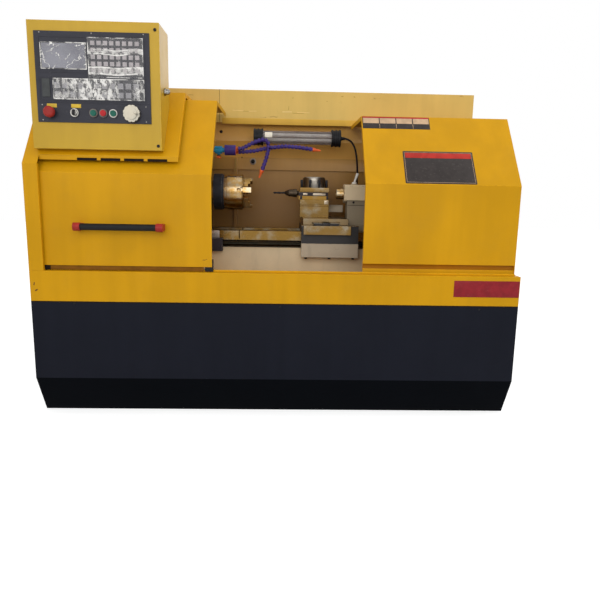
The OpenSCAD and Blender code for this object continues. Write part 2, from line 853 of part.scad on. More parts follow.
module cabinet_door() {
    x1 = cabinet_left + cabinet_w;
    y0 = cabinet_door_y;
    rim = 12;
    louvre_w = 240;
    color([0.8, 0.62, 0.14]) union() {
        difference() {
            block([cabinet_left, y0, cabinet_level], [x1, rear_y, cabinet_level + cabinet_h]);
            block(
                [cabinet_left + rim, y0 - over, cabinet_level + rim],
                [x1 - rim, rear_y - sheet, cabinet_level + cabinet_h - rim]
            );
            // Louvres in the lower part of the door
            for (i = [0 : 6])
                translate([cabinet_left + (cabinet_w - louvre_w) / 2, y0 - over, cabinet_level + 80 + i * 22])
                    cube([louvre_w, cabinet_door_t + 2 * over, 8]);
        }
        for (z = hinge_zs)
            difference() {
                union() {
                    translate([hinge_x, y0, z + hinge_h + slide_gap]) cylinder(d = hinge_d, h = hinge_h);
                    block(
                        [hinge_x, y0, z + hinge_h + slide_gap],
                        [cabinet_left + over, y0 + hinge_d / 2, z + 2 * hinge_h + slide_gap]
                    );
                }
                translate([hinge_x, y0, z]) cylinder(d = hinge_pin_d + 0.2, h = 3 * hinge_h);
            }
        // Turn latch
        translate([x1 - 60, 0, cabinet_level + cabinet_h / 2]) rod_y(rear_y - over, rear_y + 9, 28);
    }
}

// Control box

module control_box() {
    wall = 3;
    back_y = box_y + box_d;
    rest_gap = 0.2;
    // The back follows the slanted panel that the box is bolted to
    function panel_y(z) = front_y + (z - cover_knee_level) * lean - rest_gap;
    top_z = cover_knee_level + (back_y + rest_gap - front_y) / lean;
    low_z = box_level + wall + 8;
    outline = [
        [box_y, box_level], [box_y, box_top], [back_y, box_top], [back_y, top_z],
        [panel_y(box_level), box_level]
    ];
    color([0.8, 0.65, 0.22]) difference() {
        along_x(box_left, box_x1) polygon(outline);
        along_x(box_left + wall, box_x1 - wall) polygon([
            [box_y + wall, low_z], [box_y + wall, box_top - wall], [back_y - wall, box_top - wall],
            [back_y - wall, top_z + wall], [panel_y(box_level) - wall + 8 * lean, low_z]
        ]);
        // Opening behind the control panel
        block(
            [panel_x0 + 14, box_y - over, panel_z0 + 14],
            [panel_x1 - 14, box_y + wall + over, panel_z1 - 14]
        );
    }
}

module control_panel() {
    color([0.27, 0.27, 0.3]) difference() {
        union() {
            block([panel_x0, panel_face_y, panel_z0], [panel_x1, box_y, panel_z1]);
            panel_keys();
        }
        // Shallow step round the screen
        block(
            [panel_x0 + 22, panel_face_y - over, screen_low_z - 4],
            [panel_x0 + 188, panel_face_y + 1.2, panel_z1 - 38]
        );
        for (x = [estop_x, mode_x, start_x, stop_x, reset_x, wheel_x])
            translate([x, 0, button_level]) rod_y(panel_face_y - over, box_y + over, 16);
    }
}

// Screen and key fields on the control unit
screen_low_z = panel_z1 - 128;

module display_screen() {
    color([0.1, 0.12, 0.15]) block(
        [panel_x0 + 26, panel_face_y - 1.6, screen_low_z],
        [panel_x0 + 184, panel_face_y + 1.2, panel_z1 - 42]
    );
}

// Raised key fields: the keys of the unit, the machine keys and the small port cover
module panel_keys() {
    key = 15;
    key_t = 1.6;
    pitch_x = 23;
    pitch_z = 24;
    low_key = 20;
    low_pitch_x = 29;
    low_pitch_z = 32;
    for (c = [0 : 7])
        for (r = [0 : 4])
            translate([panel_x0 + 204 + c * pitch_x, panel_face_y - key_t, panel_z1 - 46 - r * pitch_z])
                cube([key, key_t + over, key]);
    for (c = [0 : 10])
        for (r = [0 : 1])
            translate([panel_x0 + 66 + c * low_pitch_x, panel_face_y - key_t, strip_z + 18 + r * low_pitch_z])
                cube([low_key, key_t + over, low_key]);
    translate([panel_x0 + 22, panel_face_y - 2 * key_t, strip_z + 18]) cube([28, 2 * key_t + over, 64]);
}

module collar(x, d) {
    translate([x, 0, button_level]) difference() {
        rod_y(panel_face_y - collar_t, panel_face_y, d + 2 * collar_rim);
        rod_y(panel_face_y - collar_t - over, panel_face_y + over, d);
    }
}

module button_collars() {
    color([0.75, 0.75, 0.76]) {
        for (x = [start_x, stop_x, reset_x])
            collar(x, button_d + 2 * button_gap);
        collar(mode_x, button_d + 2 * button_gap);
        collar(estop_x, estop_neck + 2 * button_gap);
    }
}

// A push button: cap in its collar and stem through the panel
module push_button(x) {
    translate([x, 0, button_level]) {
        rod_y(panel_face_y - collar_t - 5, panel_face_y - button_travel - 0.5, button_d);
        rod_y(panel_face_y - button_travel - 1, box_y + 14, 15);
    }
}

module emergency_stop() {
    reach = estop_travel + 1;
    color([0.75, 0.1, 0.08]) translate([estop_x, 0, button_level]) {
        rod_y(panel_face_y - collar_t - reach - 12, panel_face_y - collar_t - reach, estop_d);
        translate([0, panel_face_y - collar_t - reach - 12, 0]) rotate([90, 0, 0])
            cylinder(d1 = estop_d, d2 = estop_d - 14, h = 6);
        rod_y(panel_face_y - collar_t - reach - 1, panel_face_y - estop_travel - 0.5, estop_neck - 1);
        rod_y(panel_face_y - estop_travel - 1, box_y + 20, 15);
    }
}

module start_button() { color([0.05, 0.5, 0.25]) push_button(start_x); }
module stop_button() { color([0.75, 0.1, 0.08]) push_button(stop_x); }
module reset_button() { color([0.1, 0.55, 0.35]) push_button(reset_x); }

module mode_switch() {
    color([0.7, 0.7, 0.72]) translate([mode_x, 0, button_level]) {
        rod_y(panel_face_y - collar_t - 4, panel_face_y - 0.5, button_d);
        rod_y(panel_face_y - 1, box_y + 14, 15);
        translate([-3.5, panel_face_y - collar_t - 16, -10]) cube([7, 13, 20]);
    }
}

module pulse_wheel() {
    color([0.78, 0.78, 0.8]) translate([wheel_x, 0, button_level]) {
        difference() {
            rod_y(panel_face_y - 18, panel_face_y - 0.5, wheel_d);
            for (i = [0 : 11])
                rotate([0, i * 30, 0]) translate([wheel_d / 2 + 3, 0, 0])
                    rod_y(panel_face_y - 18 - over, panel_face_y + over, 10);
        }
        rod_y(panel_face_y - 22, panel_face_y - 17, wheel_d - 20);
        translate([wheel_d / 4 + 2, 0, 0]) rod_y(panel_face_y - 40, panel_face_y - 17, 9);
        rod_y(panel_face_y - 1, box_y + 20, 15);
    }
}

// Sliding door

module sliding_door() {
    color([0.78, 0.58, 0.1]) union() {
        folded_sheet(door_line, door_x0, door_x1);
        for (x = [door_x0, door_x1 - sheet])
            returned_edge([for (i = [1 : 3]) door_line[i]], x, x + sheet);
    }
}

module door_guides() {
    y = front_y + rail_in;
    half = guide_w / 2;
    color([0.12, 0.12, 0.13]) for (x = [door_x0 + guide_in, door_x1 - guide_out])
        translate([x, 0, 0]) difference() {
            block(
                [-half, front_y + door_in + sheet, tray_top + guide_lift],
                [half, y + rail_t + guide_wall, door_low_level + guide_up]
            );
            // The groove that rides on the rail
            block(
                [-half - over, y - rail_gap, tray_top],
                [half + over, y + rail_t + rail_gap, rail_top + slide_gap]
            );
        }
}

module handle_grip() {
    y = front_y + door_in - grip_out;
    color([0.1, 0.1, 0.1]) translate([0, y, handle_level])
        rod_x(handle_mid - handle_w / 2 + handle_end, handle_mid + handle_w / 2 - handle_end, grip_d);
}

module handle_ends() {
    y = front_y + door_in;
    color([0.78, 0.2, 0.15]) for (s = [-1, 1]) {
        x = handle_mid + s * (handle_w / 2 - handle_end / 2);
        difference() {
            union() {
                translate([0, y - grip_out, handle_level])
                    rod_x(x - handle_end / 2, x + handle_end / 2, grip_d + 6);
                block(
                    [x - handle_end / 2, y - grip_out, handle_level - grip_d / 2],
                    [x + handle_end / 2, y, handle_level + grip_d / 2]
                );
            }
            translate([x, 0, handle_level]) rod_y(y - 12, y + over, 8);
        }
    }
}

// Drive and spindle

module main_motor() {
    x0 = pulley_x1 + 20;
    x1 = x0 + motor_w;
    fins = 16;
    color([0.25, 0.3, 0.34]) translate([0, motor_y, motor_z]) {
        difference() {
            rod_x(x0, x1, motor_d);
            rod_x(x0 - over, x0 + 60, 38.2);
            for (i = [0 : fins - 1])
                rotate([i * 360 / fins, 0, 0])
                    block([x0 + 40, motor_d / 2 - 8, -4], [x1 - 50, motor_d / 2 + over, 4]);
        }
        for (x = [x0 + 60, x1 - 110])
            block([x, -motor_d / 2, base_plate - motor_z], [x + 50, motor_d / 2, -motor_d / 2 + 20]);
        block([x0 + 100, -40, motor_d / 2 - 10], [x0 + 190, 40, motor_d / 2 + 40]);
    }
}

// A grooved pulley on X
module pulley(x0, x1, d, bore) {
    grooves = 4;
    pitch = (x1 - x0 - 8) / grooves;
    difference() {
        rod_x(x0, x1, d);
        for (i = [0 : grooves - 1])
            difference() {
                rod_x(x0 + 4 + i * pitch + 2, x0 + 4 + (i + 1) * pitch - 2, d + 2);
                rod_x(x0, x1, d - 8);
            }
        rod_x(x0 - over, x1 + over, bore);
    }
}

module motor_pulley() {
    color([0.35, 0.36, 0.38]) translate([0, motor_y, motor_z]) union() {
        pulley(pulley_x0, pulley_x1, motor_pulley_d, 36);
        rod_x(pulley_x0, pulley_x1 + 78, 38);
    }
}

module drive_belt() {
    module loop(grow) {
        hull() {
            translate([0, spindle_level]) circle(d = pulley_d + 2 * belt_gap + 2 * grow);
            translate([motor_y, motor_z]) circle(d = motor_pulley_d + 2 * belt_gap + 2 * grow);
        }
    }
    color([0.08, 0.08, 0.08]) along_x(pulley_x0 + 4, pulley_x1 - 4) difference() {
        loop(belt_t);
        loop(0);
    }
}

module spindle() {
    color([0.7, 0.7, 0.72]) translate([0, 0, spindle_level]) difference() {
        union() {
            rod_x(spindle_x0, head_right + 5, spindle_d);
            rod_x(head_right + 2, plate_x0, nose_d);
        }
        rod_x(spindle_x0 - over, plate_x0 + over, spindle_bore);
    }
}

module spindle_pulley() {
    color([0.35, 0.36, 0.38]) translate([0, 0, spindle_level])
        pulley(pulley_x0, pulley_x1, pulley_d, spindle_d);
}

module chuck_plate() {
    color([0.09, 0.09, 0.1]) translate([0, 0, spindle_level]) difference() {
        union() {
            rod_x(plate_x0, plate_x1 - 8, chuck_d + 2);
            rod_x(plate_x0, plate_x1, chuck_d - 6);
        }
        rod_x(plate_x0 - over, plate_x1 + over, spindle_bore + 2);
        for (i = [0 : 2])
            rotate([60 + i * 120, 0, 0]) translate([0, chuck_d / 2 - 22, 0])
                rod_x(plate_x0 - over, plate_x0 + 14, 18);
    }
}

// T slot of one jaw, along local -Y from the chuck axis
tongue_w = 13;
tongue_t = 22;
tongue_deep = 10;
jaw_fit = 0.15;

module jaw_slot() {
    inner = -spindle_bore / 4;
    low_x = chuck_face - tongue_deep;
    block([low_x, -chuck_d, -tongue_w / 2], [chuck_face + over, inner, tongue_w / 2]);
    block([low_x, -chuck_d, -tongue_t / 2], [low_x + tongue_deep / 2, inner, tongue_t / 2]);
}

module chuck_body() {
    step = 3.5;
    socket_x = chuck_face - tongue_deep - 9;
    color([0.74, 0.74, 0.75]) translate([0, 0, spindle_level]) difference() {
        union() {
            rod_x(plate_x1, plate_x1 + 14, chuck_d - 8);
            rod_x(plate_x1 + 14, chuck_face - step, chuck_d);
            rod_x(chuck_face - step, chuck_face, chuck_d - 2 * step);
        }
        rod_x(plate_x1 - over, chuck_face + over, spindle_bore + 6);
        for (i = [0 : 2])
            rotate([-jaw_turn + i * 120, 0, 0]) {
                jaw_slot();
                block(
                    [socket_x - socket_w / 2, -chuck_d, -socket_w / 2],
                    [socket_x + socket_w / 2, -chuck_d / 2 + 24, socket_w / 2]
                );
            }
    }
}

// A stepped jaw that is tallest at its outer end
module chuck_jaw(i) {
    step = (jaw_tip - jaw_root) / 3;
    fit = jaw_fit;
    x0 = chuck_face + slide_gap;
    color([0.72, 0.72, 0.73]) translate([0, 0, spindle_level]) rotate([-jaw_turn + i * 120, 0, 0]) {
        for (s = [0 : 2])
            block(
                [x0, -jaw_root - (s + 1) * step, -jaw_w / 2],
                [x0 + jaw_out * (s + 2) / 4, -jaw_root - s * step, jaw_w / 2]
            );
        block(
            [chuck_face - tongue_deep / 2 - over, -jaw_tip, -tongue_w / 2 + fit],
            [x0 + over, -jaw_root - 2, tongue_w / 2 - fit]
        );
        block(
            [chuck_face - tongue_deep + fit, -jaw_tip, -tongue_t / 2 + fit],
            [chuck_face - tongue_deep / 2 - fit, -jaw_root - 2, tongue_t / 2 - fit]
        );
    }
}

module chuck_jaw_1() { chuck_jaw(0); }
module chuck_jaw_2() { chuck_jaw(1); }
module chuck_jaw_3() { chuck_jaw(2); }

// Screws, motors and carriage

module screw_blocks() {
    half = 24;
    color([0.4, 0.41, 0.43]) for (x = [z_screw_left, z_screw_x1 - block_w])
        difference() {
            block(
                [x, z_screw_y - half, z_screw_z - half - 8],
                [x + block_w, bed_face_y, z_screw_z + half]
            );
            translate([0, z_screw_y, z_screw_z])
                rod_x(x - over, x + block_w + over, z_screw_d + 2 * screw_fit);
        }
}

module z_motor() {
    x0 = z_screw_x1;
    half = z_motor_w / 2;
    color([0.12, 0.12, 0.13]) translate([0, z_screw_y, z_screw_z]) difference() {
        union() {
            block([x0, -half, -half], [x0 + motor_flange, half, half]);
            rod_x(x0 + motor_flange - over, x0 + z_motor_l, z_motor_w - 2 * motor_step);
            // Plug housing
            block(
                [x0 + z_motor_l / 2 - plug_w / 2, -plug_w / 2, half - 3 * motor_step],
                [x0 + z_motor_l / 2 + plug_w / 2, plug_w / 2, half + plug_up]
            );
        }
        rod_x(x0 - over, x0 + screw_end + motor_flange, z_screw_d + 1);
    }
}

module z_screw() {
    color([0.45, 0.45, 0.47]) translate([0, z_screw_y, z_screw_z])
        rod_x(z_screw_left + 4, z_screw_x1 + screw_end, z_screw_d);
}

module saddle() {
    mid = cross_mid_x;
    color([0.16, 0.17, 0.18]) difference() {
        union() {
            block([carriage_left, -saddle_front, saddle_z0], [bridge_x1, saddle_back, saddle_z1]);
            // Wings along both ways
            for (y = [[-saddle_front, -wing_y], [wing_y, saddle_back]])
                block([carriage_left, y[0], saddle_z0], [carriage_x1, y[1], saddle_z1]);
            block([carriage_left, -saddle_front, skirt_level], [carriage_x1, skirt_back_y, saddle_z0 + over]);
            along_y(-saddle_front, saddle_back) translate([mid, 0]) polygon([
                [-guide_half(saddle_z1), saddle_z1 - over], [guide_half(saddle_z1), saddle_z1 - over],
                [guide_half(saddle_z1), saddle_z1], [guide_half(guide_z1), guide_z1],
                [-guide_half(guide_z1), guide_z1], [-guide_half(saddle_z1), saddle_z1]
            ]);
        }
        // Channel for the cross ball screw and its nut
        block(
            [mid - channel_w / 2, -saddle_front - over, saddle_z0 + 3],
            [mid + channel_w / 2, saddle_back + over, guide_z1 + over]
        );
        // The rear way lies under the saddle, and the long screw under its skirt
        translate([0, z_screw_y, z_screw_z]) rod_x(carriage_left - over, carriage_x1 + over, z_screw_d + 4);
    }
}

module apron() {
    front = saddle_front + 4;
    color([0.72, 0.65, 0.54]) difference() {
        block([carriage_left, -front, apron_level], [carriage_x1, bed_face_y - 2, skirt_level]);
        translate([0, z_screw_y, z_screw_z])
            rod_x(carriage_left - over, carriage_x1 + over, z_screw_d + 2 * screw_fit);
        for (x = [carriage_left + 20, (carriage_left + carriage_x1) / 2, carriage_x1 - 20])
            translate([x, -front + 16, apron_level - over]) cylinder(d = 9, h = 14 + over);
    }
}

module cross_bearing() {
    color([0.76, 0.76, 0.76]) difference() {
        block(
            [cross_left, -saddle_front - 22, bed_top_level - 8],
            [cross_x1 + 4, -saddle_front, saddle_z1]
        );
        translate([cross_mid_x, 0, x_screw_z])
            rod_y(-saddle_front - 10, -saddle_front + over, x_screw_d + 2 * screw_fit);
    }
}

module x_motor() {
    half = x_motor_w / 2;
    color([0.12, 0.12, 0.13]) translate([cross_mid_x, 0, x_screw_z]) difference() {
        union() {
            block([-half, saddle_back, -half + 20], [half, saddle_back + 10, half]);
            rod_y(saddle_back + 9, saddle_back + 10 + x_motor_l, x_motor_w - 8);
        }
        rod_y(saddle_back - over, saddle_back + 40, x_screw_d + 1);
    }
}

module x_screw() {
    color([0.6, 0.6, 0.62]) translate([cross_mid_x, 0, x_screw_z])
        rod_y(-saddle_front - 9, saddle_back + 30, x_screw_d);
}

module cross_slide() {
    mid = cross_mid_x;
    nut_w = channel_w - 4;
    nut_l = 50;
    color([0.72, 0.72, 0.72]) difference() {
        union() {
            block([cross_left, -cross_front, cross_z0], [cross_x1, cross_back, cross_z1]);
            // Cheeks that hold the dovetail
            for (s = [0, 1])
                translate([mid, 0, 0]) mirror([s, 0, 0]) along_y(-cross_front, cross_back) polygon([
                    [cross_w / 2, cross_z0 + over], [cross_w / 2, saddle_z1 + slide_gap],
                    [guide_half(saddle_z1 + slide_gap) + tail_gap, saddle_z1 + slide_gap],
                    [guide_half(cross_z0 + over) + tail_gap, cross_z0 + over]
                ]);
            block(
                [mid - nut_w / 2, -nut_l / 2, x_screw_z - 11],
                [mid + nut_w / 2, nut_l / 2, cross_z0 + over]
            );
        }
        translate([mid, 0, x_screw_z]) rod_y(-nut_l / 2 - over, nut_l / 2 + over, x_screw_d + 2 * screw_fit);
    }
}

// Turret with four tool slots

module turret_base() {
    half = turret_w / 2;
    motor_box_h = 34;
    color([0.66, 0.66, 0.66]) translate([turret_mid, turret_y, turret_z0]) {
        difference() {
            translate([-half, -half, 0]) cube([turret_w, turret_w, turret_base_h]);
            translate([-half - over, -half - over, turret_base_h - 9])
                cube([turret_w + 2 * over, 4 + over, 4]);
        }
        // Cover of the indexing motor on the right
        translate([half, 6, turret_base_h - motor_box_h]) cube([72, half - 9, motor_box_h]);
    }
}

module turret_head() {
    half = turret_w / 2;
    core = half - slot_deep;
    color([0.75, 0.75, 0.75]) translate([turret_mid, turret_y, 0]) difference() {
        union() {
            translate([-half, -half, head0_z]) cube([turret_w, turret_w, turret_low_h]);
            translate([-core, -core, slot_z0 - over]) cube([2 * core, 2 * core, slot_tall + 2 * over]);
            translate([-half, -half, slot_z1]) cube([turret_w, turret_w, turret_up_h]);
            translate([0, 0, plate_top_z - over]) cylinder(d = drum_d, h = drum_h + over);
            translate([0, 0, plate_top_z + drum_h - over])
                cylinder(d1 = drum_d, d2 = drum_d - 10, h = 5 + over);
        }
        clamp_bolt_places() translate([0, 0, slot_z1 - over])
            cylinder(d = bolt_w + 0.4, h = turret_up_h + 2 * over);
    }
}

// Two clamp bolts over each of the four tool slots
module clamp_bolt_places() {
    reach = turret_w / 2 - slot_deep / 2;
    for (q = [0 : 3])
        rotate(q * 90)
            for (x = [-bolt_apart / 2, bolt_apart / 2])
                translate([x, -reach, 0]) children();
}

module clamp_bolts() {
    color([0.1, 0.1, 0.11]) translate([turret_mid, turret_y, 0]) clamp_bolt_places() {
        translate([0, 0, slot_z1]) cylinder(d = bolt_w, h = turret_up_h + bolt_up - 14);
        translate([0, 0, plate_top_z + bolt_up - 16]) rotate(45) cylinder(d = bolt_w + 5, h = 16, $fn = 4);
    }
}

// Drill chuck on a square shank in the front slot
module drill_chuck() {
    shank = slot_deep - 2 * shank_gap;
    nose = turret_left - drill_chuck_l;
    color([0.2, 0.18, 0.16]) difference() {
        union() {
            block(
                [turret_left - 6, shank_y - shank / 2, slot_z0 + shank_gap],
                [turret_left + turret_w - 4, shank_y + shank / 2, slot_z1 - shank_gap]
            );
            translate([0, shank_y, spindle_level]) {
                rod_x(turret_left - 14, turret_left - 4, 20);
                rod_x(turret_left - drill_chuck_l / 2, turret_left - 13, drill_chuck_d);
                rod_x(nose + 16, turret_left - drill_chuck_l / 2 + over, drill_chuck_d - 4);
                translate([nose, 0, 0]) rotate([0, 90, 0])
                    cylinder(d1 = 16, d2 = drill_chuck_d - 6, h = 16 + over);
            }
        }
        translate([0, shank_y, spindle_level]) rod_x(nose - over, nose + 30, drill_d);
    }
}

module drill() {
    nose = turret_left - drill_chuck_l;
    point = 3;
    color([0.5, 0.48, 0.45]) translate([0, shank_y, spindle_level]) {
        rod_x(nose - drill_l + point, nose + 30, drill_d);
        translate([nose - drill_l, 0, 0]) rotate([0, 90, 0]) cylinder(d1 = 0.6, d2 = drill_d, h = point);
    }
}

// Tailstock

module tailstock_body() {
    waist = barrel_d - 14;
    half = barrel_d / 2;
    edge = 7;
    color([0.74, 0.68, 0.58]) difference() {
        union() {
            block([foot_x0, -tail_base_d / 2, tail_z0], [tail_x1, tail_base_d / 2, tail_z0 + tail_base_h]);
            along_x(foot_x0, tail_x1 - 20) polygon([
                [-tail_base_d / 2 + 52, tail_z0 + tail_base_h - over],
                [tail_base_d / 2 - 52, tail_z0 + tail_base_h - over],
                [waist / 2, spindle_level - barrel_d / 4], [-waist / 2, spindle_level - barrel_d / 4]
            ]);
            translate([0, 0, spindle_level]) rod_x(tail_left, tail_x1, barrel_d);
            along_x(tail_left, tail_x1 - 20) translate([0, spindle_level]) polygon([
                [-half, -barrel_d / 3], [half, -barrel_d / 3], [half, half - edge], [half - edge, half],
                [-half + edge, half], [-half, half - edge]
            ]);
            translate([tail_left + 48, 0, spindle_level]) cylinder(d = 30, h = barrel_d / 2 + 4);
        }
        translate([0, 0, spindle_level]) {
            rod_x(tail_left - over, tail_x1 - 14, quill_d + 2 * quill_fit);
            rod_x(tail_x1 - 15, tail_x1 + over, feed_d + 2 * screw_fit);
        }
        // Pocket of the clamp screw that the lever turns
        translate([tail_left + 48, 0, spindle_level + barrel_d / 2 - 9]) cylinder(d = 14.2, h = 20);
    }
}

module quill() {
    color([0.72, 0.72, 0.73]) translate([0, 0, spindle_level]) difference() {
        rod_x(quill_x0, quill_x0 + quill_l, quill_d);
        translate([quill_x0 - 0.01, 0, 0]) rotate([0, 90, 0])
            cylinder(d1 = taper_d, d2 = taper_d - taper_l / 20, h = taper_l);
        // Thread room for the feed screw
        rod_x(quill_x0 + quill_l - feed_room, quill_x0 + quill_l + over, feed_d + 1);
    }
}

module handwheel() {
    spokes = 3;
    rim = 16;
    color([0.16, 0.16, 0.17]) translate([0, 0, spindle_level]) {
        difference() {
            rod_x(handwheel_x0, handwheel_x0 + rim, handwheel_d);
            rod_x(handwheel_x0 - over, handwheel_x0 + rim + over, handwheel_d - 2 * rim);
        }
        for (i = [0 : spokes - 1])
            rotate([i * 360 / spokes, 0, 0])
                block([handwheel_x0 + 3, -7, 0], [handwheel_x0 + 13, 7, handwheel_d / 2 - rim + 2]);
        rod_x(handwheel_x0 - 6, handwheel_x0 + 20, 38);
        // Feed screw into the quill
        rod_x(quill_x0 + quill_l - feed_room + 34, handwheel_x0, feed_d);
        translate([0, 0, handwheel_d / 2 - rim / 2]) rod_x(handwheel_x0 + rim - over, handwheel_x0 + 80, 17);
    }
}

module quill_lever() {
    z0 = spindle_level + barrel_d / 2;
    color([0.8, 0.78, 0.7]) translate([tail_left + 48, 0, 0]) {
        translate([0, 0, z0 - 8.8]) cylinder(d = 14, h = 20);
        translate([0, 0, z0 + 4.3]) cylinder(d = 22, h = 8);
        translate([0, 0, z0 + 10]) rotate([0, 20, 0]) cylinder(d1 = 9, d2 = 13, h = 44);
    }
}

// Lamp

module lamp_tube() {
    color([0.85, 0.88, 0.9]) translate([0, lamp_y, lamp_level]) difference() {
        rod_x(lamp_left + 6, lamp_x1 - 6, lamp_d);
        rod_x(lamp_left + 5, lamp_x1 - 5, lamp_d - 2 * lamp_wall);
    }
}

module lamp_caps() {
    ring = 8;
    foot_y = recess_y - lamp_y;
    color([0.1, 0.1, 0.11]) translate([0, lamp_y, lamp_level]) {
        for (x = [lamp_left, lamp_x1 - cap_w])
            difference() {
                union() {
                    rod_x(x, x + cap_w, lamp_d + 8);
                    for (i = [0 : 2])
                        rod_x(x + i * (cap_w - ring) / 2, x + i * (cap_w - ring) / 2 + ring, lamp_d + 14);
                    // Foot that bolts to the wall under the hood
                    block([x + 8, 0, 4], [x + cap_w - 8, foot_y, 24]);
                }
                rod_x(max(x, lamp_left + 6), min(x + cap_w, lamp_x1 - 6), lamp_d);
            }
    }
}

// Lead of the lamp, from its right cap down behind the edge of the right cover to the back wall,
// as places from the middle of the cap
cable_d = 9;
cable_drop = 258;
cable_run = [
    [0, 0, 0], [22, 0, 0], [45, 3, -8], [64, 9, -28], [76, 17, -56], [84, 28, -93], [90, 45, -138],
    [94, 68, -183], [96, 96, -220], [97, 128, -248], [97, 154, -cable_drop]
];
cable_route = concat(
    [for (p = cable_run) p + [lamp_x1, lamp_y, lamp_level]],
    [[lamp_x1 + 97, wall_y, lamp_level - cable_drop]]
);
cable_sides = 8;

// A round tube along points, as one closed solid
module cable_tube(route, d) {
    last = len(route) - 1;
    function heading(i) = unit(route[min(i + 1, last)] - route[max(i - 1, 0)]);
    function across(i) = unit(cross(heading(i), [0, 1, 0.3]));
    points = [
        for (i = [0 : last], k = [0 : cable_sides - 1])
            let (u = across(i), v = cross(heading(i), u), a = k * 360 / cable_sides)
                route[i] + d / 2 * (cos(a) * u + sin(a) * v)
    ];
    walls = [
        for (i = [0 : last - 1], k = [0 : cable_sides - 1])
            let (n = (k + 1) % cable_sides, b = i * cable_sides, c = b + cable_sides)
                [b + k, c + k, c + n, b + n]
    ];
    ends = [
        [for (k = [0 : cable_sides - 1]) k],
        [for (k = [cable_sides - 1 : -1 : 0]) last * cable_sides + k]
    ];
    polyhedron(points, concat(walls, ends), convexity = 8);
}

module lamp_cable() {
    color([0.08, 0.08, 0.09]) cable_tube(cable_route, cable_d);
}

// Coolant

pipe_x0 = bulkhead_x + sheet;
valve_x = pipe_x0 + 62;
pipe_x1 = valve_x + 78;
stub_l = 12;
hose_x0 = pipe_x1 + stub_l;
// Axis of the pipe, and the two outlets beside it as [y, z]
pipe_y = 20;
outlets = [[-13, 6], [13, -6]];

module coolant_valve() {
    color([0.2, 0.55, 0.72]) translate([0, pipe_y, pipe_level]) union() {
        rod_x(pipe_x0, pipe_x1, pipe_d);
        rod_x(pipe_x0, pipe_x0 + 10, pipe_d + 22);
        rod_x(valve_x - 16, valve_x + 16, pipe_d + 12);
        rod_x(valve_x + 28, pipe_x1, pipe_d + 24);
        translate([valve_x, 0, -pipe_d / 2 - 14]) cylinder(d = 15, h = 20);
        for (o = outlets)
            translate([0, o.x, o.y]) rod_x(pipe_x1 - over, hose_x0, link_d - 3);
    }
}

module valve_lever() {
    color([0.92, 0.43, 0.2]) translate([valve_x, pipe_y, pipe_level - pipe_d / 2 - 14]) {
        translate([0, 0, -6.2]) cylinder(d = 15, h = 6);
        translate([0, 0, -12]) cylinder(d = 22, h = 6);
        translate([-6, -40, -12]) cube([12, 40, 6]);
    }
}

// Hose lines as [x, z] from the outlets, each bent where the links were last pushed
function from_outlet(i, path) = [for (p = path) p + [hose_x0, pipe_level + outlets[i].y]];
hose_drop = from_outlet(0, [
    [0, 0], [link_pitch, 0], [70, 29], [114, 45], [132, 37], [138, 7], [128, -39], [108, -93]
]);
hose_reach = from_outlet(1, [
    [0, 0], [link_pitch, 0], [70, 5], [130, 19], [210, 29], [280, 25], [339, 17]
]);

// Point at a given length along a line of straight stretches
function stretch(path, i) = norm(path[i + 1] - path[i]);
function walk(path, s, i = 0) =
    s <= stretch(path, i) || i >= len(path) - 2
        ? path[i] + (path[i + 1] - path[i]) * s / stretch(path, i)
        : walk(path, s - stretch(path, i), i + 1);
function total(path) = [for (i = 0, t = 0; i < len(path) - 1; t = t + stretch(path, i), i = i + 1)
    t + stretch(path, i)][len(path) - 2];

// One ball-and-socket link from a to b
module hose_link(a, b, y) {
    run = b - a;
    translate([a.x, y, a.y]) rotate([0, atan2(run.x, run.y), 0]) {
        cylinder(d = link_d, h = norm(run) * 0.62);
        cylinder(d = link_d - 6, h = norm(run) + 0.5);
    }
}

module hose(path, y) {
    links = round(total(path) / link_pitch);
    for (i = [0 : links - 1])
        hose_link(walk(path, total(path) * i / links), walk(path, total(path) * (i + 1) / links), y);
    // Tapered nozzle at the free end
    last = path[len(path) - 1];
    run = last - path[len(path) - 2];
    translate([last.x, y, last.y]) rotate([0, atan2(run.x, run.y), 0]) {
        cylinder(d = link_d, h = 8);
        translate([0, 0, 7]) cylinder(d1 = link_d - 4, d2 = 7, h = 30);
    }
}

module coolant_hoses() {
    color([0.25, 0.18, 0.46]) {
        hose(hose_drop, pipe_y + outlets[0].x);
        hose(hose_reach, pipe_y + outlets[1].x);
    }
}

base_cabinet();
chip_tray();
door_rail();
bed();
headstock_casting();
spindle_bearings();
headstock_cover();
bulkhead();
right_cover();
rear_guard();
electrical_cabinet();
cabinet_door();
control_box();
control_panel();
display_screen();
button_collars();
emergency_stop();
start_button();
stop_button();
reset_button();
mode_switch();
pulse_wheel();
sliding_door();
door_guides();
handle_grip();
handle_ends();
main_motor();
motor_pulley();
drive_belt();
spindle();
spindle_pulley();
chuck_plate();
chuck_body();
chuck_jaw_1();
chuck_jaw_2();
chuck_jaw_3();
screw_blocks();
z_motor();
z_screw();
saddle();
apron();
cross_bearing();
x_motor();
x_screw();
cross_slide();
turret_base();
turret_head();
clamp_bolts();
drill_chuck();
drill();
tailstock_body();
quill();
handwheel();
quill_lever();
lamp_tube();
lamp_caps();
lamp_cable();
coolant_valve();
valve_lever();
coolant_hoses();
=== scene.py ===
"""Looks of a turning lathe: finishes, rounded edges, small fittings and the stage.

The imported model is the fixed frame. Every piece is made in metres in that frame and rides on one
of its bodies.
"""

import json
import math

import bmesh
import bpy
from bpy.props import FloatProperty, FloatVectorProperty, PointerProperty
from bpy.types import Operator, Panel, PropertyGroup
from mathutils import Matrix, Vector, noise


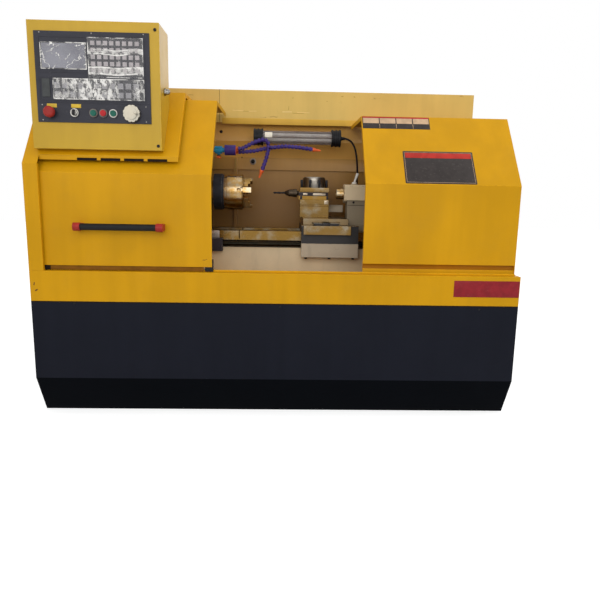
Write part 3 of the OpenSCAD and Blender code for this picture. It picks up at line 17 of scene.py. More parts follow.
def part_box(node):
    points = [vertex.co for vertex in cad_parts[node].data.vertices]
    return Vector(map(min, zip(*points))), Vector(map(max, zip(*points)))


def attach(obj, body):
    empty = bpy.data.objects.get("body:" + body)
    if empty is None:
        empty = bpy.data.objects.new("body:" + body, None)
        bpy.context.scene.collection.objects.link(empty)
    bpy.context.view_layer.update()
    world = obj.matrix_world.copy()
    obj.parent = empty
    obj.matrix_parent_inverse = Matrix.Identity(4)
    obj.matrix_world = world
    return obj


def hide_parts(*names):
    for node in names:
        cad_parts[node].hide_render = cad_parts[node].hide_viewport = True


bl_info = {
    "name": "Turning lathe looks",
    "version": (1, 0, 0),
    "blender": (4, 5, 0),
    "location": "View3D > Sidebar > Lathe",
    "description": "Finishes, rounded edges and small fittings of a turning lathe",
    "category": "Object",
}

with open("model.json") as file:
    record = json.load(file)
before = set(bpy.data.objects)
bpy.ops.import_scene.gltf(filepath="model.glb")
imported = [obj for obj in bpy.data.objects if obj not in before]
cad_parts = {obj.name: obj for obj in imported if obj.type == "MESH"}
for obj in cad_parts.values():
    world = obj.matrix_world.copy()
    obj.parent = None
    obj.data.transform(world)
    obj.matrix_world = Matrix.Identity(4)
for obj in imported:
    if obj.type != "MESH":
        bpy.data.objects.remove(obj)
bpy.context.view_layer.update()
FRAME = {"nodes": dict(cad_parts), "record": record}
NODES = FRAME["nodes"]
RECORD = FRAME["record"]
BODY_OF = {node: body for body, nodes in RECORD["behaviour"]["bodies"].items() for node in nodes}

X, Y, Z = range(3)
OUT = (0, -1, 0)  # out of the front, towards the viewer
DONE = {"FINISHED"}

# Places on the machine, in metres
FRONT_Y = -0.440  # front of the base and the tray
DOOR_Y = -0.420  # front of the sliding door
PANEL_Y = -0.436  # face of the control panel
BOX_Y = -0.432  # front of the control box
FILM_Y = -0.4379  # clear film over the key caps
SLANT = math.radians(37)  # lean of the upper face of the right cover
GUARD_Y = -0.398  # front of the right cover
GUARD_KNEE = 0.954  # height where its slanted face begins
SPINDLE_Z = 0.912  # height of the spindle
SHANK_Y = -0.0093  # front of the tool shank in the turret
HOOD_Y = 0.190  # front of the hood
HOOD_LOW = 1.240  # lower edge of the hood
WALL_Y = 0.273  # back wall over the bed
# Route of the lamp's lead from its cap to the back wall
LEAD_ROUTE = (
    (0.283, 0.110, 1.168), (0.305, 0.110, 1.168), (0.328, 0.113, 1.160), (0.347, 0.119, 1.140),
    (0.359, 0.127, 1.112), (0.367, 0.138, 1.075), (0.373, 0.155, 1.030), (0.377, 0.178, 0.985),
    (0.379, 0.206, 0.948), (0.380, 0.238, 0.920), (0.380, 0.264, 0.910), (0.380, 0.285, 0.910),
)
# Fields of the control panel under clear film: lowest and highest x and z, and seed of the creases
FILM_FIELDS = {
    "key_film": ((-0.706, 1.317), (-0.504, 1.457), 3.0),
    "low_film": ((-0.838, 1.238), (-0.503, 1.313), 11.0),
    "screen_film": ((-0.878, 1.344), (-0.711, 1.438), 23.0),
}


def linear(red, green, blue):
    """A colour given in screen values from 0 to 255, as linear light."""
    return tuple(
        c / 255 / 12.92 if c <= 10 else ((c / 255 + 0.055) / 1.055) ** 2.4 for c in (red, green, blue)
    )


def colour(name, description, red, green, blue):
    """A colour setting."""
    return FloatVectorProperty(
        name=name, description=description, subtype="COLOR", size=3, min=0.0, max=1.0,
        default=linear(red, green, blue),
    )


def length(name, description, value):
    """A length setting in metres."""
    return FloatProperty(
        name=name, description=description, subtype="DISTANCE", unit="LENGTH", min=0.0, precision=5,
        default=value,
    )


def power(name, description, value):
    """A setting of a lamp's power in watts."""
    return FloatProperty(name=name, description=description, unit="POWER", default=value)


class LatheColours(PropertyGroup):
    """Colours of the finishes."""

    yellow: colour("Yellow", "Enamel of the covers, the door and the tray", 204, 149, 10)
    box_yellow: colour("Box yellow", "Enamel of the control box", 192, 154, 42)
    # The hood's paler tone stands in for light reflected off it: a painted sheen.
    pale_yellow: colour("Pale yellow", "Enamel of the hood", 214, 180, 100)
    # The wall's tone is darker than the hood's partly as painted shade under the hood, with oil on it.
    wall: colour("Wall", "Oiled enamel of the back wall under the hood", 206, 156, 78)
    navy: colour("Navy", "Enamel of the base", 24, 26, 35)
    beige: colour("Beige", "Paint of the bed, the headstock and the tailstock", 216, 195, 159)
    ivory: colour("Ivory", "Paint of the apron and the turret motor", 172, 156, 133)
    slate: colour("Slate", "Paint of the saddle and the motors", 36, 33, 33)
    # The steel's warm tone and the gold of the oil stand partly for the yellow of the covers reflected in
    # the steel: painted reflection, with real oil.
    steel: colour("Steel", "Ground and turned steel", 158, 147, 126)
    oil: colour("Oil", "Film of cutting oil on the steel", 136, 101, 36)
    black: colour("Black", "Blackened steel and black plastic", 22, 22, 25)
    foil: colour("Panel", "Foil of the control panel", 47, 47, 55)
    keys: colour("Keys", "Key caps of the control unit", 172, 164, 166)
    red: colour("Red", "Emergency stop and handle ends", 158, 42, 36)
    green: colour("Green", "Start and reset buttons", 16, 92, 76)
    orange: colour("Orange", "Coolant nozzles and tap", 234, 104, 50)
    blue: colour("Blue", "Coolant pipe", 44, 146, 196)
    purple: colour("Purple", "Links of the coolant hoses", 62, 46, 120)
    plate_red: colour("Plate red", "Blank plate on the tray", 138, 30, 38)


class LatheSizes(PropertyGroup):
    """Sizes of the small pieces."""

    sheet_edge: length("Sheet edge", "Rounding of the edges of folded sheet", 0.0009)
    cast_edge: length("Cast edge", "Rounding of the edges of castings", 0.0022)
    machined_edge: length("Machined edge", "Rounding of the edges of slides, motors and plates", 0.0012)
    turned_edge: length("Turned edge", "Rounding of the edges of turned and ground parts", 0.0007)
    lead: length("Lamp lead", "Diameter of the lead of the lamp", 0.009)
    film_lift: length("Film lift", "Height of the folds in the clear film on the keys", 0.0016)
    drill_twist: FloatProperty(
        name="Drill twist", description="Turn of the flutes along the drill", subtype="ANGLE",
        unit="ROTATION", default=math.radians(620),
    )


class LatheStage(PropertyGroup):
    """Camera and light."""

    lens: FloatProperty(
        name="Lens", description="Focal length of the camera", unit="CAMERA", default=34.62
    )
    key: power("Key", "Power of the large lamp in front", 81.0)
    top: power("Top", "Power of the lamp over the machine", 14.0)
    side: power("Side", "Power of the lamps at the ends", 10.0)
    ambient: FloatProperty(
        name="Ambient", description="Level of the light from all round", default=0.74
    )


def both_ways(operation):
    """An operator of Value and its reflected form."""
    return (
        lambda value, other: value.math(operation, value, other),
        lambda value, other: value.math(operation, other, value),
    )


class Value:
    """A number that changes over a surface. Arithmetic on it adds Math nodes to its finish."""

    def __init__(self, owner, socket):
        self.owner = owner
        self.socket = socket

    def math(self, operation, first, second):
        return self.owner.node("ShaderNodeMath", {"operation": operation}, {0: first, 1: second})

    __add__, __radd__ = both_ways("ADD")
    __sub__, __rsub__ = both_ways("SUBTRACT")
    __mul__, __rmul__ = both_ways("MULTIPLY")
    __truediv__, __rtruediv__ = both_ways("DIVIDE")
    __pow__, __rpow__ = both_ways("POWER")

    def __abs__(self):
        return self.math("ABSOLUTE", self, 0.0)

    def most(self, other):
        return self.math("MAXIMUM", self, other)

    def over(self, low, high):
        """0 below low, 1 above high and a soft step between."""
        return self.owner.node(
            "ShaderNodeMapRange", {"interpolation_type": "SMOOTHSTEP", "clamp": True},
            {0: self, 1: low, 2: high},
        )


class NodeTree:
    """Nodes of a finish or of the surround."""

    def __init__(self, holder):
        holder.use_nodes = True
        self.tree = holder.node_tree
        self.tree.nodes.clear()

    def node(self, kind, settings=None, sockets=None, out=0):
        """A node of that type with its settings made first, then its sockets given values or links."""
        made = self.tree.nodes.new(kind)
        for name, value in (settings or {}).items():
            setattr(made, name, value)
        for name, value in (sockets or {}).items():
            self.feed(made.inputs[name], value)
        return Value(self, made.outputs[out]) if made.outputs else made

    def in_view(self):
        """1 for what the camera sees, straight on or in metal and glass."""
        seen = self.node("ShaderNodeLightPath", out="Is Camera Ray")
        for ray in ("Is Glossy Ray", "Is Transmission Ray"):
            seen = seen.most(self.node("ShaderNodeLightPath", out=ray))
        return seen

    def feed(self, socket, value):
        if isinstance(value, Value):
            self.tree.links.new(value.socket, socket)
        elif socket.type == "RGBA":
            socket.default_value = (*value[:3], 1.0)
        else:
            socket.default_value = value


class Finish(NodeTree):
    """A material, built from nodes on Object coordinates."""

    def __init__(self, name):
        self.material = bpy.data.materials.new("lathe_" + name)
        super().__init__(self.material)
        self.shader = self.node("ShaderNodeBsdfPrincipled")
        self.output = self.node("ShaderNodeOutputMaterial", {}, {"Surface": self.shader})
        self.here = self.node("ShaderNodeTexCoord", out="Object")

    def surface(self, **sockets):
        """Values or links of the shader, with the socket's name in lower case and underscores."""
        names = {s.name.lower().replace(" ", "_"): s for s in self.shader.socket.node.inputs}
        for name, value in sockets.items():
            self.feed(names[name], value)
        return self.material

    def noise(self, scale, detail=3.0, roughness=0.5, stretch=(1, 1, 1)):
        where = self.node("ShaderNodeMapping", {}, {"Vector": self.here, "Scale": stretch})
        return self.node("ShaderNodeTexNoise", {}, {
            "Vector": where, "Scale": scale, "Detail": detail, "Roughness": roughness,
        })

    def cells(self, scale):
        """Distance to the nearest point of a loose grid."""
        return self.node("ShaderNodeTexVoronoi", {}, {"Vector": self.here, "Scale": scale})

    def axes(self):
        return [self.node("ShaderNodeSeparateXYZ", {}, {0: self.here}, out=i) for i in (X, Y, Z)]

    def mix(self, share, first, second):
        """A colour between two, by a share of the second."""
        return self.node("ShaderNodeMix", {"data_type": "RGBA"}, {0: share, 6: first, 7: second}, out=2)

    def edge(self):
        """1 on the rounded edges of a piece, 0 on its faces."""
        return self.node("ShaderNodeAttribute", {"attribute_name": "edge"}, out=2)

    def bump(self, height, distance, strength, under=None):
        sockets = {"Strength": strength, "Distance": distance, "Height": height}
        if under is not None:
            sockets["Normal"] = under
        return self.node("ShaderNodeBump", {}, sockets)


def shade(tone, factor):
    """A colour made lighter or darker."""
    return tuple(min(1.0, c * factor) for c in tone)


def tone_of(source):
    """A colour from the name of a setting, that name and a factor, or screen values."""
    if isinstance(source, str):
        return getattr(bpy.context.scene.lathe_colours, source)
    if isinstance(source[0], str):
        return shade(tone_of(source[0]), source[1])
    return linear(*source)


# What shows where a finish is worn
CHIP = linear(74, 62, 46)
SCRAPE = linear(138, 102, 48)
BARE_CORNER = linear(120, 112, 100)
BARE_STEEL = linear(120, 118, 114)
RUST = linear(96, 58, 30)
THICK_OIL = linear(70, 54, 30)
FADED = linear(168, 160, 150)
FOIL_SPECK = linear(140, 138, 140)
GLASS_DUST = linear(150, 150, 154)
# Colour where the film shows white: whitened creases with painted glints.
CLEAR_FILM = linear(226, 223, 218)


def enamel(name, source, rough=0.36, wear=0.5, scuffs=0.0, grime=(150, 118, 60), gloss=0.12, splash=None):
    """Sprayed enamel on sheet: orange peel, clouds in the tone, runs of dust, chipped edges, and edges
    painted lighter as highlights.

    splash is the height below which the sheet is brown, as painted shade with oil on it, the height above
    which it is plain, and the brown.
    """
    f, tone = Finish(name), tone_of(source)
    cloud = f.noise(2.6)
    runs = f.noise(16.0, stretch=(1, 1, 0.1))
    body = f.mix((0.6 * cloud + 0.4 * runs).over(0.34, 0.68), shade(tone, 0.90), shade(tone, 1.06))
    # Patches of the rounded edges painted lighter: a painted highlight.
    edge_highlight = f.edge() * f.noise(70.0, 4.0).over(0.40, 0.62)
    body = f.mix(edge_highlight * wear, body, shade(tone, 1.35))
    chipped = f.edge() * f.noise(210.0, 5.0, 0.6).over(0.66, 0.70)
    specks = f.noise(48.0, 5.0, 0.65).over(0.735, 0.75)
    body = f.mix(chipped.most(specks * wear) * 0.75, body, CHIP)
    dust = f.noise(7.0, 6.0, 0.7).over(0.45, 0.8)
    body = f.mix(dust * 0.10, body, linear(*grime))
    if scuffs:
        scrape = f.noise(9.0, 6.0, 0.7, stretch=(1, 1, 5.5)).over(0.655, 0.70)
        body = f.mix(scrape * scuffs, body, SCRAPE)
    # Darker and browner towards the bottom: painted shade, with oil.
    if splash:
        low, high, brown = splash
        body = f.mix(1.0 - (f.axes()[Z] + 0.06 * runs).over(low, high), body, linear(*brown))
    peel = f.noise(420.0, 2.0)
    wave = f.noise(24.0, 2.0)
    return f.surface(
        base_color=body, roughness=rough + 0.10 * dust + 0.06 * f.noise(60.0),
        normal=f.bump(peel, 0.00008, 0.35, f.bump(wave, 0.0006, 0.12)), specular_ior_level=gloss,
    )


def cast_paint(name, source, rough=0.46, stains=0.45):
    """Filled and painted casting: lumps, brush of oil, dark drips and spots of dirt, and bare corners."""
    f, tone = Finish(name), tone_of(source)
    lumps = f.noise(30.0, 4.0)
    body = f.mix(f.noise(5.0, 4.0).over(0.3, 0.7), shade(tone, 0.86), shade(tone, 1.08))
    drips = f.noise(22.0, 5.0, 0.62, stretch=(1, 1, 0.16)).over(0.54, 0.78)
    spots = f.noise(60.0, 5.0, 0.65).over(0.62, 0.72)
    body = f.mix(drips.most(spots) * stains * 0.7, body, shade(tone, 0.42))
    body = f.mix(f.edge() * f.noise(120.0, 4.0).over(0.50, 0.60) * 0.7, body, BARE_CORNER)
    return f.surface(
        base_color=body, roughness=rough + 0.14 * f.noise(45.0) - 0.16 * drips,
        normal=f.bump(f.noise(260.0), 0.00025, 0.4, f.bump(lumps, 0.001, 0.35)),
        coat_weight=0.04, coat_roughness=0.25, specular_ior_level=0.3,
    )


def ground_steel(name, source, film="oil", lines=(0.03, 1, 1), rough=0.27, dull=0.25):
    """Ground steel: fine lines along the grinding, oil film and a few rust freckles."""
    f, tone = Finish(name), tone_of(source)
    grain = f.noise(700.0, stretch=lines)
    body = f.mix(f.noise(18.0, 4.0, 0.6).over(0.3, 0.7), shade(tone, 0.80), tone)
    body = f.mix(grain * 0.22, body, shade(tone, 0.62))
    oil = f.noise(13.0, 5.0, 0.6).over(0.30, 0.54)
    body = f.mix(oil * dull, body, tone_of(film))
    rust = f.noise(130.0, 5.0, 0.7).over(0.70, 0.76)
    return f.surface(
        base_color=f.mix(rust * 0.4, body, RUST), metallic=1.0 - 0.5 * rust,
        roughness=rough + 0.12 * grain - 0.06 * oil, normal=f.bump(grain, 0.00002, 0.35),
    )


def turned_steel(name, source, film="oil", rough=0.17, rings=1.0, stain=0.2):
    """Bright turned steel: tool rings round the spindle's axis, with wiped oil."""
    f, tone = Finish(name), tone_of(source)
    x, across, z = f.axes()
    up = z - SPINDLE_Z
    radius = (across * across + up * up) ** 0.5
    ringed = f.node("ShaderNodeCombineXYZ", {}, {0: x * 900.0, 1: radius * 900.0, 2: 0.0})
    tool_marks = f.node("ShaderNodeTexNoise", {}, {"Vector": ringed, "Scale": 1.0, "Detail": 2.0})
    wiped = f.noise(26.0, 5.0, 0.65)
    body = f.mix(wiped.over(0.3, 0.72), shade(tone, 0.78), shade(tone, 1.06))
    body = f.mix(wiped.over(0.34, 0.60) * stain, body, tone_of(film))
    nicks = f.edge() * f.noise(300.0, 4.0).over(0.58, 0.64)
    return f.surface(
        base_color=f.mix(nicks * 0.6, body, shade(tone, 0.5)), metallic=1.0,
        roughness=rough + 0.14 * tool_marks + 0.10 * wiped.over(0.5, 0.8),
        normal=f.bump(tool_marks, 0.00003, 0.5 * rings),
    )


def blackened(name, source, rough=0.42, metal=0.55):
    """Blackened steel with bare, worn edges and a dusty bloom."""
    f, tone = Finish(name), tone_of(source)
    bloom = f.noise(40.0, 5.0, 0.6)
    body = f.mix(bloom.over(0.35, 0.75), tone, shade(tone, 2.2))
    worn = f.edge() * f.noise(150.0, 4.0).over(0.42, 0.58)
    return f.surface(
        base_color=f.mix(worn * 0.8, body, BARE_STEEL), metallic=metal + 0.35 * worn,
        roughness=rough + 0.16 * bloom - 0.12 * worn,
        normal=f.bump(f.noise(500.0, 2.0), 0.00004, 0.4), specular_ior_level=0.3,
    )


def moulded(name, source, rough=0.36, grain=420.0, faded=0.05):
    """Moulded plastic: fine grain, slight fading and dust, with its rounded edges painted lighter as
    highlights.
    """
    f, tone = Finish(name), tone_of(source)
    body = f.mix(f.noise(34.0, 4.0).over(0.3, 0.7), shade(tone, 0.84), shade(tone, 1.10))
    body = f.mix(f.noise(90.0, 5.0, 0.7).over(0.55, 0.8) * faded, body, FADED)
    # The rounded edges are painted lighter all along: a painted highlight.
    return f.surface(
        base_color=f.mix(f.edge() * 0.2, body, shade(tone, 1.4)),
        roughness=rough + 0.12 * f.noise(120.0), normal=f.bump(f.noise(grain, 2.0), 0.00005, 0.35),
        specular_ior_level=0.18,
    )


def panel_foil(name, source):
    """Printed foil of the control panel: fine leather grain, smears and a satin shine."""
    f, tone = Finish(name), tone_of(source)
    smear = f.noise(13.0, 6.0, 0.65, stretch=(1, 1, 1.6))
    body = f.mix(smear.over(0.3, 0.75), shade(tone, 0.80), shade(tone, 1.18))
    return f.surface(
        base_color=f.mix(f.noise(240.0).over(0.66, 0.76) * 0.25, body, FOIL_SPECK),
        roughness=0.34 + 0.18 * smear, normal=f.bump(f.cells(900.0), 0.00005, 0.35),
        specular_ior_level=0.2,
    )


def screen(name, source, pale):
    """Dark screen behind glass, with a greyish sheen of dust."""
    f = Finish(name)
    dust = f.noise(60.0, 6.0, 0.7)
    body = f.mix(f.noise(9.0).over(0.3, 0.7), tone_of(source), tone_of(pale))
    return f.surface(
        base_color=f.mix(dust.over(0.58, 0.8) * 0.3, body, GLASS_DUST),
        roughness=0.14 + 0.15 * dust.over(0.4, 0.8), specular_ior_level=0.3,
    )


def film(name, field, rim, bands=(), crumples=(), folds=0.5):
    """Creased clear film over a field, whitened and with painted glints on its folds, in wavy bands, over
    crumpled stretches and round its rim.

    A band is its height, half its width and its sway. A crumple is its left and right end and its share.
    """
    f = Finish(name)
    low, high, _ = field
    x, _, z = f.axes()
    warp = f.noise(26.0)
    ridge = 1.0 - abs(2.0 * f.noise(30.0, 3.0, 0.55, stretch=(0.7, 1, 1)) - 1.0)
    # White on the folds, bands, crumples and rim: whitened creases with painted glints.
    white = ridge.over(0.955, 0.995) * warp.over(0.42, 0.60) * folds
    for level, half, sway in bands:
        off = abs(z - level - sway * (f.noise(9.0, 2.0, stretch=(1, 0, 0)) - 0.5)) / half
        outline = off.over(0.45, 0.7) * (1.0 - off.over(0.8, 1.0)) * f.noise(24.0).over(0.34, 0.56)
        inside = (1.0 - off.over(0.6, 1.0)) * (0.20 + 0.45 * f.noise(70.0).over(0.42, 0.64))
        white = white + outline * 0.75 + inside
    soft = 0.012
    for left, right, share in crumples:
        inside = x.over(left - soft, left + soft) * (1.0 - x.over(right - soft, right + soft))
        broken = f.noise(95.0, 4.0, 0.65, stretch=(1, 1, 0.5)).over(0.44, 0.58)
        white = white + inside * (0.12 + broken * 0.8) * share
    wide, tall = (high[0] - low[0]) / 2, (high[1] - low[1]) / 2
    at_side = abs(x - (low[0] + high[0]) / 2).over(wide - rim, wide)
    at_end = abs(z - (low[1] + high[1]) / 2).over(tall - rim, tall)
    white = white + at_side.most(at_end) * f.noise(40.0).over(0.38, 0.58) * 0.85
    return f.surface(
        base_color=CLEAR_FILM, alpha=0.05 + white.over(0.0, 1.1) * 0.9, roughness=0.22 + 0.2 * warp,
        normal=f.bump(ridge, 0.0006, 0.4), specular_ior_level=0.5,
    )


def clear_tube(name, source, pale):
    """Clear tube of the machine lamp, hazed inside."""
    f = Finish(name)
    haze = f.noise(20.0, 4.0, stretch=(0.3, 1, 1))
    return f.surface(
        base_color=f.mix(haze.over(0.3, 0.7), tone_of(source), tone_of(pale)),
        alpha=0.18 + 0.18 * haze, roughness=0.05 + 0.06 * haze, specular_ior_level=0.12,
    )


def rubber(name, source, pale):
    """Dusty rubber of the belts."""
    f = Finish(name)
    dust = f.noise(80.0, 4.0)
    return f.surface(
        base_color=f.mix(dust.over(0.4, 0.8), tone_of(source), tone_of(pale)),
        roughness=0.72 + 0.15 * dust, normal=f.bump(f.noise(300.0), 0.0001, 0.6),
    )


def ball_screw(name, source, pitch):
    """Ground screw: bands of its thread, oiled."""
    f, tone = Finish(name), tone_of(source)
    x, y, _ = f.axes()
    wave = f.node("ShaderNodeMath", {"operation": "SINE"}, {0: (x + y) * (2 * math.pi / pitch)})
    groove = (wave * 0.5 + 0.5).over(0.15, 0.85)
    oil = f.noise(40.0, 4.0)
    body = f.mix(groove, shade(tone, 0.28), tone)
    return f.surface(
        base_color=f.mix(oil.over(0.5, 0.75) * 0.4, body, THICK_OIL), metallic=1.0,
        roughness=0.2 + 0.2 * oil, normal=f.bump(groove, 0.0012, 0.8),
    )


ALONG_Y, UPRIGHT = (1, 0.03, 1), (0.05, 0.05, 1)  # ways that steel is ground
PLATE_GRAIN, FINE_GRAIN = 700.0, 900.0
# Maker and colour of each finish, with what differs from the maker's usual values
FINISHES = {
    "yellow_enamel": (enamel, "yellow"),
    "box_enamel": (enamel, "box_yellow", {"rough": 0.28, "gloss": 0.2}),
    # Paler than the covers as a painted sheen of light.
    "hood_enamel": (enamel, "pale_yellow", {"rough": 0.40, "scuffs": 0.7}),
    "edge_enamel": (enamel, (208, 164, 66), {"rough": 0.38}),
    # A darker copy of the yellow for the groove over the hem: painted shade.
    "hem_enamel": (enamel, (158, 100, 6), {"rough": 0.45}),
    "strip_enamel": (enamel, (166, 131, 69), {"rough": 0.34}),
    "scrape_light": (enamel, (236, 206, 136), {"rough": 0.45}),
    "scrape_dark": (enamel, (178, 142, 66), {"rough": 0.5}),
    # The back wall is painted darker and browner lower down: painted shade under the hood, with oil on it.
    "wall_enamel": (enamel, "wall", {
        "rough": 0.26, "wear": 0.2, "grime": (104, 70, 28), "gloss": 0.22,
        "splash": (0.90, 1.20, (143, 103, 50)),
    }),
    # A lighter, glossier copy of the wall enamel for its leaning face: a painted highlight.
    "lean_enamel": (enamel, ("wall", 1.25), {
        "rough": 0.26, "wear": 0.2, "grime": (140, 118, 90), "gloss": 0.4,
    }),
    "navy_enamel": (enamel, "navy", {"rough": 0.42, "wear": 0.25, "grime": (40, 41, 48), "gloss": 0.06}),
    # A darker copy of the base's enamel for the faces of the foot that face downwards: painted shade.
    "kick_enamel": (enamel, (8, 10, 14), {
        "rough": 0.5, "wear": 0.1, "grime": (20, 22, 26), "gloss": 0.02,
    }),
    "beige_cast": (cast_paint, "beige"),
    "tail_cast": (cast_paint, ("beige", 1.08), {"stains": 0.25}),
    # A darker copy of the tailstock's paint for its lower part: painted shade.
    "tail_low_cast": (cast_paint, ("beige", 0.36), {"stains": 0.4}),
    "ivory_paint": (cast_paint, "ivory", {"rough": 0.40, "stains": 0.35}),
    "slate_paint": (cast_paint, "slate", {"rough": 0.42, "stains": 0.35}),
    # Dark paint for recesses and the tool slot: painted shade.
    "recess_paint": (cast_paint, (38, 31, 38), {"rough": 0.5, "stains": 0.4}),
    # The ways' gold film is partly oil and partly a painted reflection of the yellow covers.
    "way_steel": (ground_steel, ("steel", 0.8), {"film": ("oil", 0.78), "dull": 0.9}),
    "cross_steel": (ground_steel, ("steel", 0.76), {
        "film": ("oil", 0.74), "lines": ALONG_Y, "rough": 0.24, "dull": 0.85,
    }),
    "slide_steel": (ground_steel, ("steel", 0.5), {"lines": ALONG_Y, "rough": 0.30, "dull": 0.3}),
    "shank_steel": (ground_steel, ("steel", 0.62), {"film": ("oil", 0.78), "rough": 0.28, "dull": 0.9}),
    "post_steel": (ground_steel, ("steel", 0.75), {
        "film": ("oil", 0.65), "lines": UPRIGHT, "rough": 0.20, "dull": 0.85,
    }),
    "hub_steel": (ground_steel, (160, 160, 156), {"lines": UPRIGHT, "rough": 0.36}),
    # Bright pads on the shank stand in for highlights on it: painted highlight.
    "pad_steel": (ground_steel, (196, 184, 164), {"lines": (1, 1, 0.05), "rough": 0.42, "dull": 0.2}),
    # The chuck's strong gold film is partly cutting oil and partly the yellow of the covers reflected in it:
    # painted reflection.
    "chuck_steel": (turned_steel, ("steel", 1.38), {"film": ("oil", 1.4), "stain": 0.85}),
    "turned_steel": (turned_steel, ("steel", 0.95), {"rough": 0.2}),
    "chrome": (turned_steel, (150, 148, 144), {"rough": 0.22, "rings": 0.3, "stain": 0.05}),
    "dark_chrome": (turned_steel, (84, 82, 82), {"rough": 0.24, "rings": 0.3, "stain": 0.1}),
    "wheel_chrome": (turned_steel, (158, 154, 142), {"rough": 0.30, "rings": 0.4, "stain": 0.12}),
    "zinc": (blackened, (132, 122, 114), {"rough": 0.4, "metal": 0.3}),
    "black_steel": (blackened, "black"),
    "gun_steel": (blackened, (60, 50, 38), {"rough": 0.30, "metal": 0.75}),
    "plate_black": (blackened, (26, 28, 36), {"rough": 0.5, "metal": 0.2}),
    "bare_metal": (blackened, (78, 46, 20), {"rough": 0.6, "metal": 0.2}),
    "black_plastic": (moulded, "black", {"rough": 0.40}),
    "grip_plastic": (moulded, (20, 20, 22), {"rough": 0.48, "grain": FINE_GRAIN}),
    "red_plastic": (moulded, "red", {"rough": 0.30}),
    "stop_plastic": (moulded, (176, 28, 34), {"rough": 0.30}),
    "green_plastic": (moulded, "green", {"rough": 0.28}),
    "orange_plastic": (moulded, "orange"),
    "blue_plastic": (moulded, "blue", {"rough": 0.30}),
    "purple_plastic": (moulded, "purple", {"rough": 0.30}),
    "key_plastic": (moulded, "keys", {"rough": 0.34}),
    "low_key_plastic": (moulded, (142, 140, 144)),
    "port_plastic": (moulded, (66, 68, 68), {"rough": 0.44}),
    "tag_plastic": (moulded, (214, 178, 60)),
    "cap_white": (moulded, (214, 212, 204)),
    "lead_rubber": (moulded, (30, 30, 36), {"rough": 0.42, "grain": 800.0}),
    "red_plate": (moulded, "plate_red", {"rough": 0.30, "grain": PLATE_GRAIN, "faded": 0.08}),
    "dark_plate": (moulded, (54, 48, 46), {"rough": 0.34, "grain": PLATE_GRAIN, "faded": 0.15}),
    "pale_plate": (moulded, (196, 164, 130), {"grain": PLATE_GRAIN, "faded": 0.1}),
    "signal_plate": (moulded, (176, 46, 36), {"rough": 0.32, "grain": PLATE_GRAIN, "faded": 0.08}),
    # Dark felt of the seams, also used as painted shade behind the slots, in the gap under the door and
    # along the tray's joint.
    "dark_felt": (moulded, (30, 20, 12), {"rough": 0.8, "grain": 260.0}),
    # Brown of the door brush, standing in for the shade in the gap under the door.
    "brush_brown": (moulded, (124, 82, 20), {"rough": 0.8, "grain": FINE_GRAIN}),
    "lamp_white": (moulded, (244, 238, 230), {"rough": 0.30, "grain": PLATE_GRAIN}),
    "lamp_grey": (moulded, (206, 194, 184), {"rough": 0.34, "grain": PLATE_GRAIN}),
    "label_cream": (moulded, (232, 224, 206), {"grain": PLATE_GRAIN}),
    "frame_foil": (panel_foil, (46, 46, 54)),
    "panel_foil": (panel_foil, "foil"),
    "screen_glass": (screen, (92, 92, 104), {"pale": (124, 124, 135)}),
    "lamp_glass": (clear_tube, (102, 94, 95), {"pale": (144, 133, 129)}),
    "belt_rubber": (rubber, (22, 22, 23), {"pale": (56, 54, 50)}),
    "long_screw": (ball_screw, ("steel", 0.08), {"pitch": 0.005}),
    "key_film": (film, FILM_FIELDS["key_film"], {
        "rim": 0.005, "folds": 0.35, "bands": ((1.408, 0.011, 0.034), (1.342, 0.016, 0.022)),
    }),
    "low_film": (film, FILM_FIELDS["low_film"], {
        "rim": 0.005, "crumples": ((-0.838, -0.762, 0.55), (-0.762, -0.600, 1.0), (-0.545, -0.503, 0.5)),
    }),
    "screen_film": (film, FILM_FIELDS["screen_film"], {"rim": 0.006, "folds": 1.2}),
}


def finish(name):
    """The named finish, made the first time it is asked for."""
    maker, source, *settings = FINISHES[name]
    return bpy.data.materials.get("lathe_" + name) or maker(name, source, **dict(*settings))


def new_piece(name, bm, finishes, body="machine", sharp=40.0):
    """An object from a bmesh, with its place in its mesh, that rides on a body."""
    mesh = bpy.data.meshes.new(name)
    bm.to_mesh(mesh)
    bm.free()
    for f in [finishes] if isinstance(finishes, str) else finishes:
        mesh.materials.append(finish(f))
    mesh.shade_smooth()
    mesh.set_sharp_from_angle(angle=math.radians(sharp))
    piece = bpy.data.objects.new(name, mesh)
    bpy.context.scene.collection.objects.link(piece)
    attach(piece, body)
    return piece


def round_off(edge, finishes, *nodes, pick=None, segments=2, join=True):
    """CAD nodes with their outer edges rounded, by a setting's name or a length in metres.

    pick gives a face's finish from its middle and normal. join makes one face of each flat.
    """
    if isinstance(edge, str):
        edge = getattr(bpy.context.scene.lathe_sizes, edge)
    fold = math.radians(28)  # the least turn of a surface that is an edge
    for node in nodes:
        bm = bmesh.new()
        bm.from_mesh(NODES[node].data)
        bmesh.ops.remove_doubles(bm, verts=bm.verts, dist=1e-5)
        if join:
            bmesh.ops.dissolve_limit(bm, angle_limit=math.radians(0.5), verts=bm.verts, edges=bm.edges)
        worn = bm.faces.layers.float.new("edge")
        sharp = [
            e for e in bm.edges
            if e.is_convex and e.calc_face_angle(0.0) > fold and e.calc_length() > 2.2 * edge
        ]
        if sharp:
            made = bmesh.ops.bevel(
                bm, geom=sharp, offset=edge, offset_type="OFFSET", segments=segments, profile=0.5,
                affect="EDGES", material=-1, clamp_overlap=False, loop_slide=True,
            )
            for face in made["faces"]:
                face[worn] = 1.0
        if pick:
            for face in bm.faces:
                face.material_index = int(pick(face.calc_center_median(), face.normal))
        piece = new_piece(node + ".dressed", bm, finishes, BODY_OF[node], 50.0)
        piece.modifiers.new("even_shading", "WEIGHTED_NORMAL").keep_sharp = True
        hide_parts(node)


